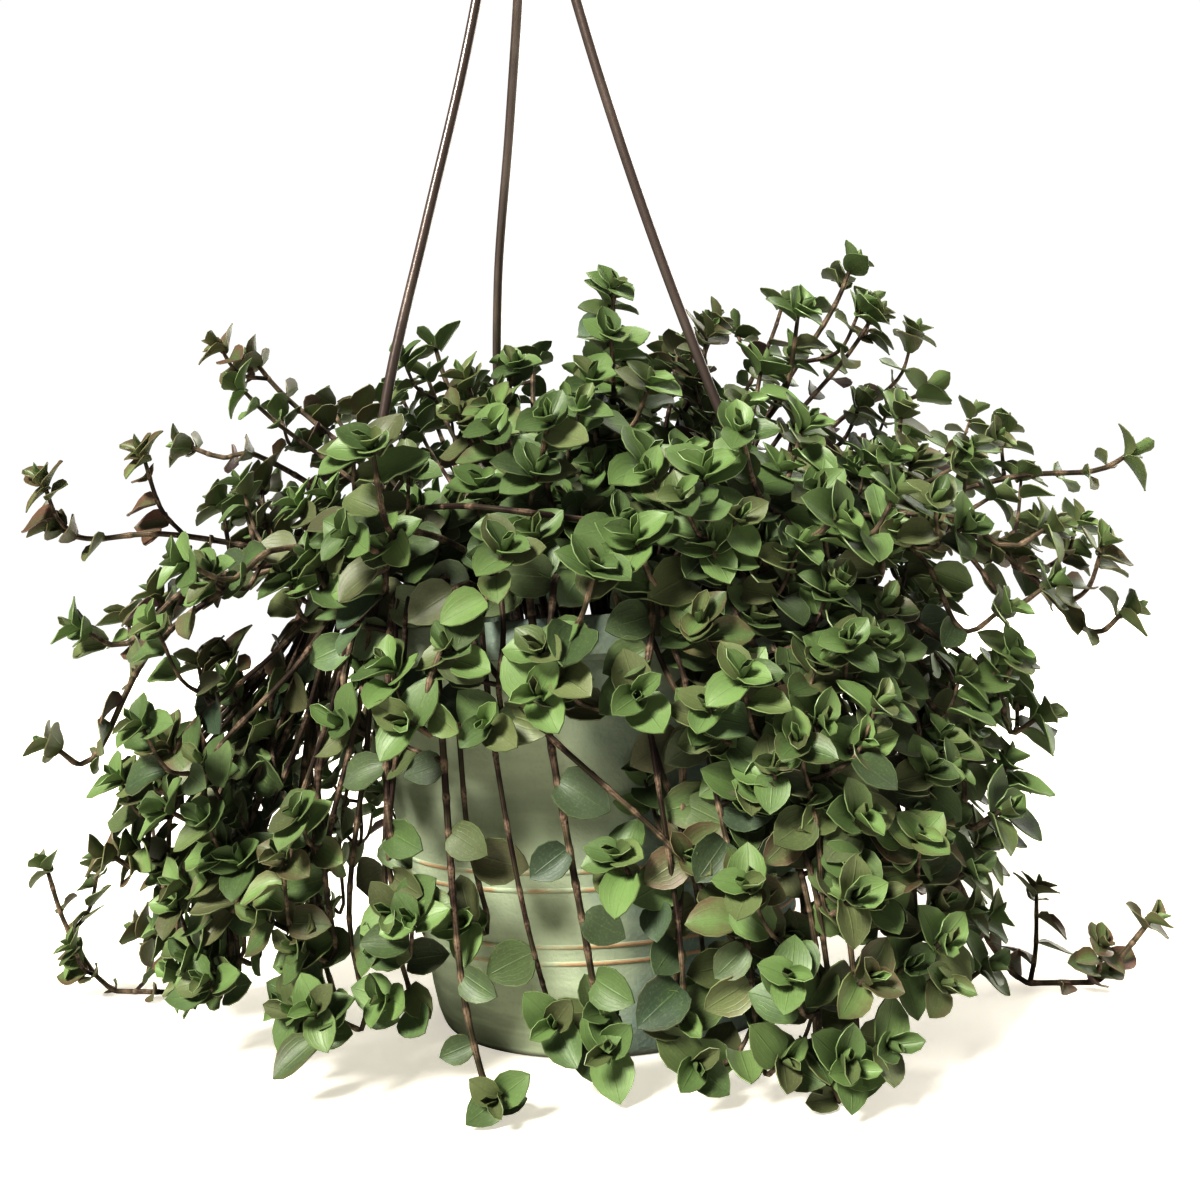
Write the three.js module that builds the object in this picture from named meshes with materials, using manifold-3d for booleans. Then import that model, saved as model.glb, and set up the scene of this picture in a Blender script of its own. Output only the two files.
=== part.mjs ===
// A potted turtle vine: a round hanging pot that stands on a table, its soil, a hanger of three
// rods with a hub and hook, and the leafy stems that stand in the soil, arch over the rim, hang
// down the pot and run along the table.
import * as THREE from "three";
import { mergeVertices } from "three/addons/utils/BufferGeometryUtils.js";
import Module from "manifold-3d";

const wasm = await Module();
wasm.setup();

// Driving dimensions in millimetres. The pot's axis is Z, the table is z = 0, the front is -Y.
const RIM_RADIUS = 77.5;
const POT_HEIGHT = 122;
const BASE_RADIUS = 54.1;
const WALL = 1.8;
const FLOOR = 2.6;
const BAND_HEIGHT = 11.7;
const BAND_PROUD = 3;
const STEP_BELOW_RIM = 22.4;
const STEP_PROUD = 0.8;
const DRAIN_HOLES = 6;
const DRAIN_RADIUS = 4;
const DRAIN_CIRCLE = 36;
const POT_SIDES = 40;
const SOIL_TOP = 110;
const GAP = 0.3;

// The hanger: rods bent outwards and sideways on their way from the rim to one hub. The larger
// the skew, the lower down a rod is bent most.
const ROD_RADIUS = 1.6;
const ROD_SIDES = 6;
const ROD_STEPS = 13;
const CLIP_RADIUS = 67.8;
const LUG = { width: 11, inner: 64, outer: 73.2, bottom: 117.2, top: 120.6, hole: 2.15 };
const BUTTON = { radius: 2.6, height: 4 };
const HUB = { x: -5, y: -15, bottom: 353, top: 367, radius: 8.5, rodCircle: 5, rodEnd: 360 };
const RODS = [
  { name: "rod_left", azimuth: 200, bow: 8.7, sway: 1.9, skew: 3 },
  { name: "rod_right", azimuth: 343.4, bow: -5.9, sway: -0.4, skew: 1 },
  { name: "rod_back", azimuth: 97.4, bow: 20.9, sway: 17.2, skew: 2 },
];
const HOOK = { radius: 12, centre: 398, thickness: 2.2, neck: 375 };

// Stems and leaves.
const STEM_RADIUS = 1.3;
const ROOT_DEPTH = 8;
const HOLE_RADIUS = 2.4;
const TABLE_CLEARANCE = 1.5;
const INTERNODE = 17;
const SHOOT_LENGTH = [24, 40];
const SHOOT_RADIUS = 1.1;
const NODE_HALF = 0.9;
const LEAF_LENGTH = 15;
const LEAF_WIDTH = 0.8;
const LEAF_THICKNESS = 1;
const LEAF_CUP = 0.14;
const BUD_LENGTH = 7;
const ROSETTE_SPREAD = 0.87;
const ROSETTE_RISE = 0.5;
const STEM_SPACING = 4.6;
const SEED = 20261;

// Each leafy stem: the azimuth where it stands in the soil, the azimuth of its tip, how far out
// the tip reaches and how high it ends.
const CROWN = [
  [350, 350, 14, 222],
  [16, 17, 104, 236],
  [150, 146, 56, 219],
  [168, 165, 112, 217],
  [38, 30, 58, 220],
  [215, 205, 36, 197],
  [78, 72, 62, 221],
  [118, 108, 42, 213],
  [285, 278, 38, 190],
  [252, 250, 64, 174],
  [315, 318, 64, 178],
  [55, 62, 100, 210],
  [130, 124, 96, 204],
];
const ARCH = [
  [184, 180, 168, 162],
  [174, 171, 132, 188],
  [200, 197, 150, 128],
  [191, 186, 166, 94],
  [2, 0, 178, 162],
  [24, 27, 152, 199],
  [346, 352, 164, 112],
  [333, 338, 140, 138],
  [219, 214, 126, 143],
  [46, 45, 150, 150],
  [68, 71, 142, 162],
  [93, 96, 132, 168],
  [116, 121, 142, 148],
  [141, 144, 152, 160],
  [303, 305, 110, 142],
  [238, 236, 104, 146],
];
const SPILL = [
  [265, 262, 98, 104],
  [281, 276, 98, 102],
  [246, 243, 101, 99],
  [232, 235, 94, 50],
  [258, 268, 86, 14],
  [290, 280, 90, 22],
  [298, 301, 117, 70],
  [316, 314, 118, 34],
  [325, 329, 124, 62],
  [332, 343, 134, 84],
  [12, 10, 132, 56],
  [30, 27, 136, 84],
  [54, 58, 132, 40],
  [82, 85, 126, 72],
  [104, 107, 122, 32],
  [131, 134, 132, 62],
  [155, 158, 146, 38],
  [181, 177, 150, 30],
  [208, 205, 126, 36],
  [222, 224, 94, 98],
  [195, 192, 148, 62],
];
const RUNNER = [
  [168, 166, 206, 46],
  [354, 350, 163, 20],
  [303, 297, 118, 12],
  [240, 252, 98, 7],
];

const up = new THREE.Vector3(0, 0, 1);
const degrees = THREE.MathUtils.degToRad;
const mix = THREE.MathUtils.lerp;

// A repeatable draw between 0 and 1.
function drawer(seed) {
  let state = seed;
  return () => {
    state = (state * 1664525 + 1013904223) % 4294967296;
    return state / 4294967296;
  };
}

// Solids from three.js geometry and back.
function solid(geometry) {
  const plain = geometry.index ? geometry.toNonIndexed() : geometry.clone();
  plain.deleteAttribute("normal");
  plain.deleteAttribute("uv");
  const merged = mergeVertices(plain, 1e-4);
  const body = new wasm.Manifold(
    new wasm.Mesh({
      numProp: 3,
      vertProperties: new Float32Array(merged.attributes.position.array),
      triVerts: new Uint32Array(merged.index.array),
    }),
  );
  if (body.volume() > 0) return body;
  const index = merged.index.array;
  for (let i = 1; i < index.length; i += 3) [index[i], index[i + 1]] = [index[i + 1], index[i]];
  return new wasm.Manifold(
    new wasm.Mesh({
      numProp: 3,
      vertProperties: new Float32Array(merged.attributes.position.array),
      triVerts: new Uint32Array(index),
    }),
  );
}

function geometryOf(body) {
  const mesh = body.getMesh();
  const geometry = new THREE.BufferGeometry();
  geometry.setAttribute("position", new THREE.BufferAttribute(mesh.vertProperties, 3));
  geometry.setIndex(new THREE.BufferAttribute(mesh.triVerts, 1));
  geometry.computeVertexNormals();
  return geometry;
}

function turned(profile, sides) {
  const points = profile.map(([radius, height]) => new THREE.Vector2(radius, height));
  return solid(new THREE.LatheGeometry(points, sides).rotateX(Math.PI / 2));
}

function post(radius, bottom, top, sides) {
  const geometry = new THREE.CylinderGeometry(radius, radius, top - bottom, sides);
  return geometry.rotateX(Math.PI / 2).translate(0, 0, (bottom + top) / 2);
}

function tube(curve, radius, sides, steps) {
  const section = new THREE.Shape();
  for (let side = 0; side < sides; side++) {
    const angle = (2 * Math.PI * side) / sides;
    const corner = [radius * Math.cos(angle), radius * Math.sin(angle)];
    if (side === 0) section.moveTo(...corner);
    else section.lineTo(...corner);
  }
  return solid(new THREE.ExtrudeGeometry(section, { steps, extrudePath: curve, curveSegments: 1 }));
}

function polar(azimuth, radius, height) {
  const angle = degrees(azimuth);
  return new THREE.Vector3(radius * Math.cos(angle), radius * Math.sin(angle), height);
}

// The pot: a tapered wall with a small step and a rim band, and a lug inside the rim for each rod.
function bodyRadius(height) {
  return BASE_RADIUS + ((RIM_RADIUS - BAND_PROUD - BASE_RADIUS) * height) / POT_HEIGHT;
}

function makePot() {
  const step = POT_HEIGHT - STEP_BELOW_RIM;
  const band = POT_HEIGHT - BAND_HEIGHT;
  let pot = turned(
    [
      [0, 0],
      [BASE_RADIUS - 1.2, 0],
      [BASE_RADIUS + 0.2, 1.4],
      [bodyRadius(12) + 0.7, 12],
      [bodyRadius(step), step - 0.4],
      [bodyRadius(step) + STEP_PROUD, step + 0.4],
      [bodyRadius(band) + STEP_PROUD, band],
      [RIM_RADIUS - 0.2, band + 4],
      [RIM_RADIUS, POT_HEIGHT - 1],
      [RIM_RADIUS - 1, POT_HEIGHT],
      [bodyRadius(POT_HEIGHT) - WALL + 0.8, POT_HEIGHT],
      [bodyRadius(POT_HEIGHT) - WALL, POT_HEIGHT - 1],
      [bodyRadius(FLOOR) - WALL, FLOOR],
      [0, FLOOR],
    ],
    POT_SIDES,
  );
  for (let hole = 0; hole < DRAIN_HOLES; hole++) {
    const place = polar((360 * (hole + 0.5)) / DRAIN_HOLES, DRAIN_CIRCLE, 0);
    pot = pot.subtract(solid(post(DRAIN_RADIUS, -1, FLOOR + 1, 8).translate(place.x, place.y, 0)));
  }
  for (const { azimuth } of RODS) {
    const lug = new THREE.BoxGeometry(LUG.outer - LUG.inner, LUG.width, LUG.top - LUG.bottom);
    lug.translate((LUG.outer + LUG.inner) / 2, 0, (LUG.top + LUG.bottom) / 2);
    const hole = post(LUG.hole, LUG.bottom - 2, LUG.top + 2, 8).translate(CLIP_RADIUS, 0, 0);
    pot = pot.add(solid(lug.rotateZ(degrees(azimuth))));
    pot = pot.subtract(solid(hole.rotateZ(degrees(azimuth))));
  }
  return pot;
}

// A rod's bow from just above its lug to its seat in the hub.
function rodCurve({ azimuth, bow, sway, skew }) {
  const hub = new THREE.Vector3(HUB.x, HUB.y, 0);
  const side = polar(azimuth + 90, 1, 0);
  const most = skew ** skew / (skew + 1) ** (skew + 1);
  const points = [0, 0.12, 0.3, 0.5, 0.7, 0.88, 1].map((share) => {
    const bulge = (share * (1 - share) ** skew) / most;
    const radius = mix(CLIP_RADIUS, HUB.rodCircle, share) + bow * bulge;
    const point = polar(azimuth, radius, mix(LUG.top + 2, HUB.rodEnd, share));
    return point.addScaledVector(side, sway * bulge).addScaledVector(hub, share);
  });
  return new THREE.CatmullRomCurve3(points, false, "catmullrom", 0.5);
}

// A rod's foot goes straight down through its lug and ends in a button below it.
function makeRod(rod) {
  const foot = polar(rod.azimuth, CLIP_RADIUS, 0);
  const top = LUG.bottom - GAP;
  const button = post(BUTTON.radius, top - BUTTON.height, top, 8).translate(foot.x, foot.y, 0);
  const shank = post(ROD_RADIUS, top - 1, LUG.top + 3, ROD_SIDES).translate(foot.x, foot.y, 0);
  const bow = tube(rodCurve(rod), ROD_RADIUS, ROD_SIDES, ROD_STEPS);
  return wasm.Manifold.union([bow, solid(button), solid(shank)]);
}

// The hub with a socket for each rod, and the hook that rises from it.
function makeHook() {
  let hook = solid(post(HUB.radius, HUB.bottom, HUB.top, 16).translate(HUB.x, HUB.y, 0));
  for (const rod of RODS) hook = hook.subtract(tube(rodCurve(rod), ROD_RADIUS + 0.4, ROD_SIDES, ROD_STEPS));
  for (const rod of RODS) {
    const end = rodCurve(rod).getPoint(1);
    const room = post(ROD_RADIUS + 0.5, HUB.rodEnd - 2, HUB.rodEnd + GAP, 8);
    hook = hook.subtract(solid(room.translate(end.x, end.y, 0)));
  }
  const points = [
    new THREE.Vector3(HUB.x, HUB.y, HUB.top - 2),
    new THREE.Vector3(HUB.x, HUB.y, HOOK.neck),
  ];
  for (let angle = 195; angle >= -15; angle -= 30) {
    const x = HUB.x + HOOK.radius * Math.cos(degrees(angle));
    points.push(new THREE.Vector3(x, HUB.y, HOOK.centre + HOOK.radius * Math.sin(degrees(angle))));
  }
  const curve = new THREE.CatmullRomCurve3(points, false, "catmullrom", 0.5);
  return hook.add(tube(curve, HOOK.thickness, 8, 22));
}

// A stem's route: a few radii and heights with a share of the turn from root to tip, and a share
// of the sideways sway.
function crownRows([, , reach, tip], order) {
  const root = 8 + 0.3 * Math.min(reach, 100) + 3 * (order % 2);
  const rise = tip - SOIL_TOP;
  return [
    ...soilRows(root),
    [mix(root, reach, 0.1), SOIL_TOP + 0.28 * rise, 0.1, 0.5],
    [mix(root, reach, 0.42), SOIL_TOP + 0.6 * rise, 0.45, 1],
    [mix(root, reach, 0.84), SOIL_TOP + 0.87 * rise, 0.85, 0.5],
    [reach, tip, 1, 0],
  ];
}

function archRows([, , reach, tip], order) {
  const root = 42 + 8 * (order % 2);
  const start = SOIL_TOP + 26;
  const peak = Math.max(tip - 10, SOIL_TOP + 38);
  return [
    ...soilRows(root),
    [root + 6, start, 0.05, 0.4],
    [mix(root, reach, 0.36), mix(start, peak, 0.65), 0.3, 1],
    [mix(root, reach, 0.7), mix(peak, tip, 0.45), 0.65, 0.8],
    [reach - 12, tip - 5, 0.9, 0.3],
    [reach, tip, 1, 0],
  ];
}

function rimRows(root) {
  return [
    ...soilRows(root),
    [root + 4, SOIL_TOP + 17, 0.05, 0],
    [RIM_RADIUS + 4, POT_HEIGHT + 10, 0.15, 0.4],
  ];
}

function spillRows([, , reach, tip], order) {
  const root = 56 + 8 * (order % 2);
  const edge = RIM_RADIUS + 6;
  const drop = POT_HEIGHT + 8;
  return [
    ...rimRows(root),
    [mix(edge, reach, 0.35), mix(drop, tip, 0.34), 0.4, 1],
    [mix(edge, reach, 0.75), mix(drop, tip, 0.74), 0.75, 0.8],
    [reach - 9, tip - 4, 0.93, 0.3],
    [reach, tip, 1, 0],
  ];
}

function runnerRows([, , reach, tip], order) {
  const root = 60 + 4 * (order % 2);
  const edge = RIM_RADIUS;
  return [
    ...rimRows(root),
    [mix(edge, reach, 0.1) + 7, 0.68 * POT_HEIGHT, 0.3, 0.7],
    [mix(edge, reach, 0.28) + 7, 0.27 * POT_HEIGHT, 0.5, 1],
    [mix(edge, reach, 0.55), TABLE_CLEARANCE + 1.5, 0.7, 0.6],
    [mix(edge, reach, 0.8), TABLE_CLEARANCE + 0.3, 0.86, 0.3],
    [reach - 8, TABLE_CLEARANCE + 0.45 * tip, 0.97, 0],
    [reach, tip, 1, 0],
  ];
}

function soilRows(root) {
  return [
    [root, SOIL_TOP - ROOT_DEPTH, 0, 0],
    [root, SOIL_TOP + 3, 0, 0],
  ];
}

class StemCurve extends THREE.CatmullRomCurve3 {
  getPoint(share, target = new THREE.Vector3()) {
    super.getPoint(share, target);
    target.z = Math.max(target.z, TABLE_CLEARANCE);
    return target;
  }
}

function stemCurve(stem, rows, sway) {
  const [from, to] = stem;
  const points = rows.map(([radius, height, turn, bend]) => {
    const azimuth = mix(from, to, turn);
    return polar(azimuth, radius, height).addScaledVector(polar(azimuth + 90, 1, 0), sway * bend);
  });
  return new StemCurve(points, false, "catmullrom", 0.5);
}

// Every stem takes the first sideways sway that keeps it clear of the rods and the stems before it.
const FAMILIES = [
  { name: "crown_shoot", stems: CROWN, rows: crownRows, bare: 0.3, vigour: 1, shoots: [0, 2] },
  { name: "arching_stem", stems: ARCH, rows: archRows, bare: 0.28, vigour: 1, shoots: [0, 2] },
  { name: "spilling_stem", stems: SPILL, rows: spillRows, bare: 0.3, vigour: 1, shoots: [0] },
  { name: "running_stem", stems: RUNNER, rows: runnerRows, bare: 0.3, vigour: 0.85, shoots: [1] },
];
const SWAYS = [0, 4, -4, 8, -8, 12, -12, 16, -16, 20, -20];

function clearOf(samples, taken) {
  const least = STEM_SPACING * STEM_SPACING;
  return taken.every((other) => samples.every((a) => other.every((b) => a.distanceToSquared(b) > least)));
}

function routeStems() {
  const taken = RODS.map((rod) => rodCurve(rod).getSpacedPoints(90));
  const routed = [];
  const draw = drawer(SEED);
  for (const family of FAMILIES) {
    family.stems.forEach((stem, order) => {
      const lean = 6 * (draw() - 0.5);
      let curve;
      let samples;
      for (const sway of SWAYS) {
        curve = stemCurve(stem, family.rows(stem, order), lean + sway);
        samples = curve.getSpacedPoints(Math.round(curve.getLength() / 3));
        if (clearOf(samples, taken)) break;
      }
      taken.push(samples);
      routed.push({ name: `${family.name}_${order + 1}`, family, curve });
    });
  }
  return routed;
}

// A closed skin that is woven from points and triangles.
class Skin {
  constructor() {
    this.positions = [];
    this.index = [];
  }

  point(vector) {
    this.positions.push(vector.x, vector.y, vector.z);
    return this.positions.length / 3 - 1;
  }

  at(corner) {
    return new THREE.Vector3().fromArray(this.positions, 3 * corner);
  }

  fan(centre, loop) {
    loop.forEach((corner, place) => this.index.push(centre, corner, loop[(place + 1) % loop.length]));
  }

  geometry() {
    const geometry = new THREE.BufferGeometry();
    geometry.setAttribute("position", new THREE.Float32BufferAttribute(this.positions, 3));
    return geometry.setIndex(this.index);
  }
}

// Corners of a leaf's right edge, as shares of its length and width: leaves on a stem are widest in
// the middle, and those round a tip keep their width further out.
const LARGE_EDGE = [
  [0.14, 0.42],
  [0.52, 0.5],
];
const SMALL_EDGE = [
  [0.16, 0.44],
  [0.64, 0.42],
];

// Four corners of a stem's side, counted round from outside, are opened into a leaf: an ovate
// outline with a pointed tip, cupped upwards and thickest in the middle.
function openLeaf(skin, corners, { base, direction, normal, length, edge }) {
  const across = new THREE.Vector3().crossVectors(normal, direction);
  const place = (x, y, z) =>
    skin.point(
      base.clone().addScaledVector(direction, x).addScaledVector(across, y).addScaledVector(normal, z),
    );
  const width = LEAF_WIDTH * length;
  const dip = LEAF_CUP * length;
  const left = edge.map(([x, y]) => place(x * length, -y * width, 0));
  const right = edge.map(([x, y]) => place(x * length, y * width, 0)).reverse();
  const tip = place(length, 0, 0);
  const over = place(0.42 * length, 0, LEAF_THICKNESS / 2 - dip);
  const under = place(0.42 * length, 0, -LEAF_THICKNESS / 2 - dip);
  const [lowLeft, lowRight, topRight, topLeft] = corners;
  skin.fan(over, [topLeft, ...left, tip, ...right, topRight]);
  skin.fan(under, [lowRight, ...[...right].reverse(), tip, ...[...left].reverse(), lowLeft]);
  skin.index.push(lowLeft, left[0], topLeft, lowRight, topRight, right[right.length - 1]);
}

// The corners are counted from the edge that lies lowest in the leaf.
function leafCorners(skin, corners, normal) {
  const height = (place) => {
    const a = skin.at(corners[place]);
    return a.add(skin.at(corners[(place + 1) % 4])).dot(normal);
  };
  const lowest = [0, 1, 2, 3].sort((a, b) => height(a) - height(b))[0];
  return [0, 1, 2, 3].map((place) => corners[(place + lowest) % 4]);
}

// The leaf alone, as a closed solid, to see what it would cross.
function loneLeaf(skin, corners, leaf) {
  const lone = new Skin();
  const own = corners.map((corner) => lone.point(skin.at(corner)));
  openLeaf(lone, own, leaf);
  lone.index.push(own[0], own[3], own[2], own[0], own[2], own[1]);
  return solid(lone.geometry());
}

// A ring of corners round a shoot, with one side that faces the way a leaf or a shoot leaves.
function ringAt(skin, { curve, length, radius, corners }, distance, side) {
  const share = Math.min(distance / length, 1);
  const centre = curve.getPointAt(share);
  const along = curve.getTangentAt(share);
  const face = side.clone().addScaledVector(along, -side.dot(along)).normalize();
  const round = new THREE.Vector3().crossVectors(along, face);
  return Array.from({ length: corners }, (_, j) => {
    const angle = ((2 * j - 1) * Math.PI) / corners;
    const corner = centre.clone().addScaledVector(face, radius * Math.cos(angle));
    return skin.point(corner.addScaledVector(round, radius * Math.sin(angle)));
  });
}

// Two rings are joined side by side, each corner to its nearest, apart from sides left for leaves.
function joinRings(skin, lower, upper, openSides = []) {
  const count = lower.length;
  const apart = (turn) => {
    const gaps = lower.map((corner, j) => skin.at(corner).distanceTo(skin.at(upper[(j + turn) % count])));
    return gaps.reduce((sum, gap) => sum + gap, 0);
  };
  const turn = lower.map((_, j) => j).sort((a, b) => apart(a) - apart(b))[0];
  for (let j = 0; j < count; j++) {
    const next = (j + 1) % count;
    const [a, b, c, d] = [lower[j], lower[next], upper[(next + turn) % count], upper[(j + turn) % count]];
    if (!openSides.includes(j)) skin.index.push(a, b, c, a, c, d);
  }
}

function jitter(draw) {
  return new THREE.Vector3(draw() - 0.5, draw() - 0.5, draw() - 0.5);
}

// The side of a node that its leaf or shoot leaves: the two ranks lie level on either side.
function nodeAt(curve, share, rank, draw) {
  const base = curve.getPointAt(share);
  const along = curve.getTangentAt(share);
  const outward = new THREE.Vector3(base.x, base.y, 0).normalize();
  const side = new THREE.Vector3().crossVectors(along, up);
  if (side.length() < 0.2) side.crossVectors(outward, up);
  side.normalize();
  const over = new THREE.Vector3().crossVectors(side, along);
  const roll = 1.1 * (draw() - 0.5);
  side.multiplyScalar(rank * Math.cos(roll)).addScaledVector(over, Math.sin(roll));
  return { base, along, outward, side };
}

// A leaf turns its face up and outwards and points towards the shoot's tip.
function leafAt({ base, along, outward, side }, draw) {
  const normal = jitter(draw)
    .multiplyScalar(0.6)
    .addScaledVector(along, 0.45)
    .addScaledVector(up, 0.62)
    .addScaledVector(outward, 0.6)
    .normalize();
  const direction = side.clone().addScaledVector(along, 0.5);
  direction.addScaledVector(normal, -direction.dot(normal)).normalize();
  return { base, side, direction, normal, edge: LARGE_EDGE };
}

// The tip of a shoot is a rosette of leaves, one on each side, round a rolled young leaf.
function rosetteAt(curve, count, draw) {
  const along = curve.getTangentAt(1);
  const base = curve.getPointAt(1).addScaledVector(along, -NODE_HALF);
  const first = jitter(draw).cross(along).normalize();
  const round = new THREE.Vector3().crossVectors(along, first);
  return Array.from({ length: count }, (_, j) => {
    const angle = (2 * Math.PI * j) / count;
    const side = first.clone().multiplyScalar(Math.cos(angle)).addScaledVector(round, Math.sin(angle));
    const direction = side.clone().multiplyScalar(ROSETTE_SPREAD).addScaledVector(along, ROSETTE_RISE);
    const normal = along.clone().multiplyScalar(ROSETTE_SPREAD).addScaledVector(side, -ROSETTE_RISE);
    return { base, side, direction, normal, edge: SMALL_EDGE };
  });
}

// A side shoot leaves its node sideways and turns up.
function sideShoot({ base, outward, side }, vigour, draw) {
  const reach = mix(...SHOOT_LENGTH, draw());
  const start = side.clone().addScaledVector(up, 0.35).addScaledVector(outward, 0.35).normalize();
  const middle = base.clone().addScaledVector(start, 0.5 * reach);
  const tip = middle.clone().addScaledVector(start, 0.3 * reach).addScaledVector(up, 0.4 * reach);
  const curve = new StemCurve([base, middle, tip], false, "catmullrom", 0.5);
  const form = { radius: SHOOT_RADIUS, corners: 4, steps: 2, bare: 0, vigour, shoots: [] };
  return planShoot(curve, form, draw);
}

// All that a shoot would bear: a leaf or a side shoot at its nodes, and the rosette at its tip.
function planShoot(curve, { radius, corners, steps, bare, vigour, shoots }, draw) {
  const length = curve.getLength();
  const first = Math.max(Math.ceil(bare * steps), 1);
  const nodes = [];
  for (let order = 1; order < steps; order++) {
    const node = nodeAt(curve, order / steps, order % 2 ? 1 : -1, draw);
    node.distance = (order * length) / steps;
    const leaf = leafAt(node, draw);
    const age = (order - first) / (steps - first);
    leaf.length = LEAF_LENGTH * vigour * (1.05 - 0.25 * age) * (0.88 + 0.24 * draw());
    if (shoots.includes(order - first)) node.shoot = sideShoot(node, vigour, draw);
    else if (order >= first) node.leaf = leaf;
    nodes.push(node);
  }
  const rosette = rosetteAt(curve, corners, draw);
  for (const leaf of rosette) leaf.length = 0.8 * LEAF_LENGTH * vigour;
  return { curve, length, radius, corners, nodes, rosette };
}

function planStem({ name, family, curve }, seed) {
  const steps = Math.round(curve.getLength() / INTERNODE);
  const { bare, vigour, shoots } = family;
  const form = { radius: STEM_RADIUS, corners: 3, steps, bare, vigour, shoots };
  return { name, ...planShoot(curve, form, drawer(seed)) };
}

// A shoot's skin from the corners it grows from. What the keep test turns down is left out.
function weaveShoot(skin, shoot, base, keep) {
  let below = base;
  for (const { distance, side, leaf, shoot: branch } of shoot.nodes) {
    const bears = leaf || branch;
    const lower = ringAt(skin, shoot, bears ? distance - NODE_HALF : distance, side);
    joinRings(skin, below, lower);
    below = lower;
    if (!bears) continue;
    below = ringAt(skin, shoot, distance + NODE_HALF, side);
    const opening = [lower[0], lower[1], below[1], below[0]];
    const corners = leaf ? leafCorners(skin, opening, leaf.normal) : opening;
    const kept = keep(leaf ? loneLeaf(skin, corners, leaf) : loneShoot(skin, corners, branch));
    joinRings(skin, lower, below, kept ? [0] : []);
    if (kept && leaf) openLeaf(skin, corners, leaf);
    if (kept && branch) weaveShoot(skin, branch, corners, keep);
  }
  const lower = ringAt(skin, shoot, shoot.length - 2 * NODE_HALF, shoot.rosette[0].side);
  const upper = ringAt(skin, shoot, shoot.length, shoot.rosette[0].side);
  joinRings(skin, below, lower);
  const opened = shoot.rosette.map((leaf, j) => {
    const next = (j + 1) % shoot.corners;
    const corners = leafCorners(skin, [lower[j], lower[next], upper[next], upper[j]], leaf.normal);
    if (!keep(loneLeaf(skin, corners, leaf))) return -1;
    openLeaf(skin, corners, leaf);
    return j;
  });
  joinRings(skin, lower, upper, opened);
  const bud = shoot.curve.getPointAt(1).addScaledVector(shoot.curve.getTangentAt(1), BUD_LENGTH);
  skin.fan(skin.point(bud), upper);
}

function loneShoot(skin, corners, shoot) {
  const lone = new Skin();
  const own = corners.map((corner) => lone.point(skin.at(corner)));
  lone.index.push(own[0], own[3], own[2], own[0], own[2], own[1]);
  weaveShoot(lone, shoot, own, () => false);
  return solid(lone.geometry());
}

function weaveStem(plan, keep) {
  const skin = new Skin();
  const root = ringAt(skin, plan, 0, plan.nodes[0].side);
  skin.index.push(root[2], root[1], root[0]);
  weaveShoot(skin, plan, root, keep);
  return solid(skin.geometry());
}

// Boxes that touch are tested, so that only near neighbours are intersected.
function crosses(a, b) {
  const p = a.boundingBox();
  const q = b.boundingBox();
  for (let axis = 0; axis < 3; axis++) {
    if (p.min[axis] > q.max[axis] || q.min[axis] > p.max[axis]) return false;
  }
  return a.intersect(b).volume() > 1e-3;
}

// Each stem bears the leaves that are clear of the table, the pot and every other stem and leaf.
function growStems(plans, fixtures) {
  const bare = plans.map((plan) => weaveStem(plan, () => false));
  const placed = [];
  return plans.map((plan, order) => {
    const obstacles = [...fixtures, ...bare.filter((_, other) => other !== order)];
    const body = weaveStem(plan, (piece) => {
      if (piece.boundingBox().min[2] < GAP) return false;
      if ([...obstacles, ...placed].some((other) => crosses(piece, other))) return false;
      placed.push(piece);
      return true;
    });
    return { name: plan.name, body };
  });
}

// Soil: a plug that fills the pot, with a plain hole for every stem.
function makeSoil(curves) {
  const inner = (height) => bodyRadius(height) - WALL - GAP;
  let soil = turned(
    [
      [0, FLOOR + GAP],
      [inner(FLOOR + GAP) - 0.5, FLOOR + GAP],
      [inner(SOIL_TOP - 3), SOIL_TOP - 3],
      [inner(SOIL_TOP) - 2.5, SOIL_TOP],
      [0, SOIL_TOP],
    ],
    POT_SIDES,
  );
  const holes = curves.map((curve) => {
    const root = curve.getPoint(0);
    const hole = post(HOLE_RADIUS, SOIL_TOP - ROOT_DEPTH - GAP, SOIL_TOP + 2, 5);
    return solid(hole.translate(root.x, root.y, 0));
  });
  return soil.subtract(wasm.Manifold.union(holes));
}

const FINISHES = {
  pot: { color: 0x98a78f, roughness: 0.75, metalness: 0 },
  soil: { color: 0x3b2c22, roughness: 1, metalness: 0 },
  hanger: { color: 0x4d443f, roughness: 0.3, metalness: 0.1 },
  leaf: { color: 0x5f8a4c, roughness: 0.5, metalness: 0 },
};

const plant = new THREE.Group();
plant.name = "potted_turtle_vine";

function addPart(name, body, finish) {
  const mesh = new THREE.Mesh(geometryOf(body), new THREE.MeshStandardMaterial(FINISHES[finish]));
  mesh.name = name;
  plant.add(mesh);
}

const routed = routeStems();
const pot = makePot();
const soil = makeSoil(routed.map(({ curve }) => curve));
const hook = makeHook();
const rods = RODS.map(makeRod);
const plans = routed.map((stem, order) => planStem(stem, SEED + 7 * order));

addPart("pot", pot, "pot");
addPart("soil", soil, "soil");
addPart("hook", hook, "hanger");
RODS.forEach(({ name }, order) => addPart(name, rods[order], "hanger"));
for (const { name, body } of growStems(plans, [pot, soil, hook, ...rods])) addPart(name, body, "leaf");

export default plant;
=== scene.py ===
"""A potted turtle vine: a moulded pot, its soil, a rod hanger and leafy stems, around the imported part."""
import math
import random

import bmesh
import bpy
import numpy as np
from mathutils import Matrix, Vector, noise


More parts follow.
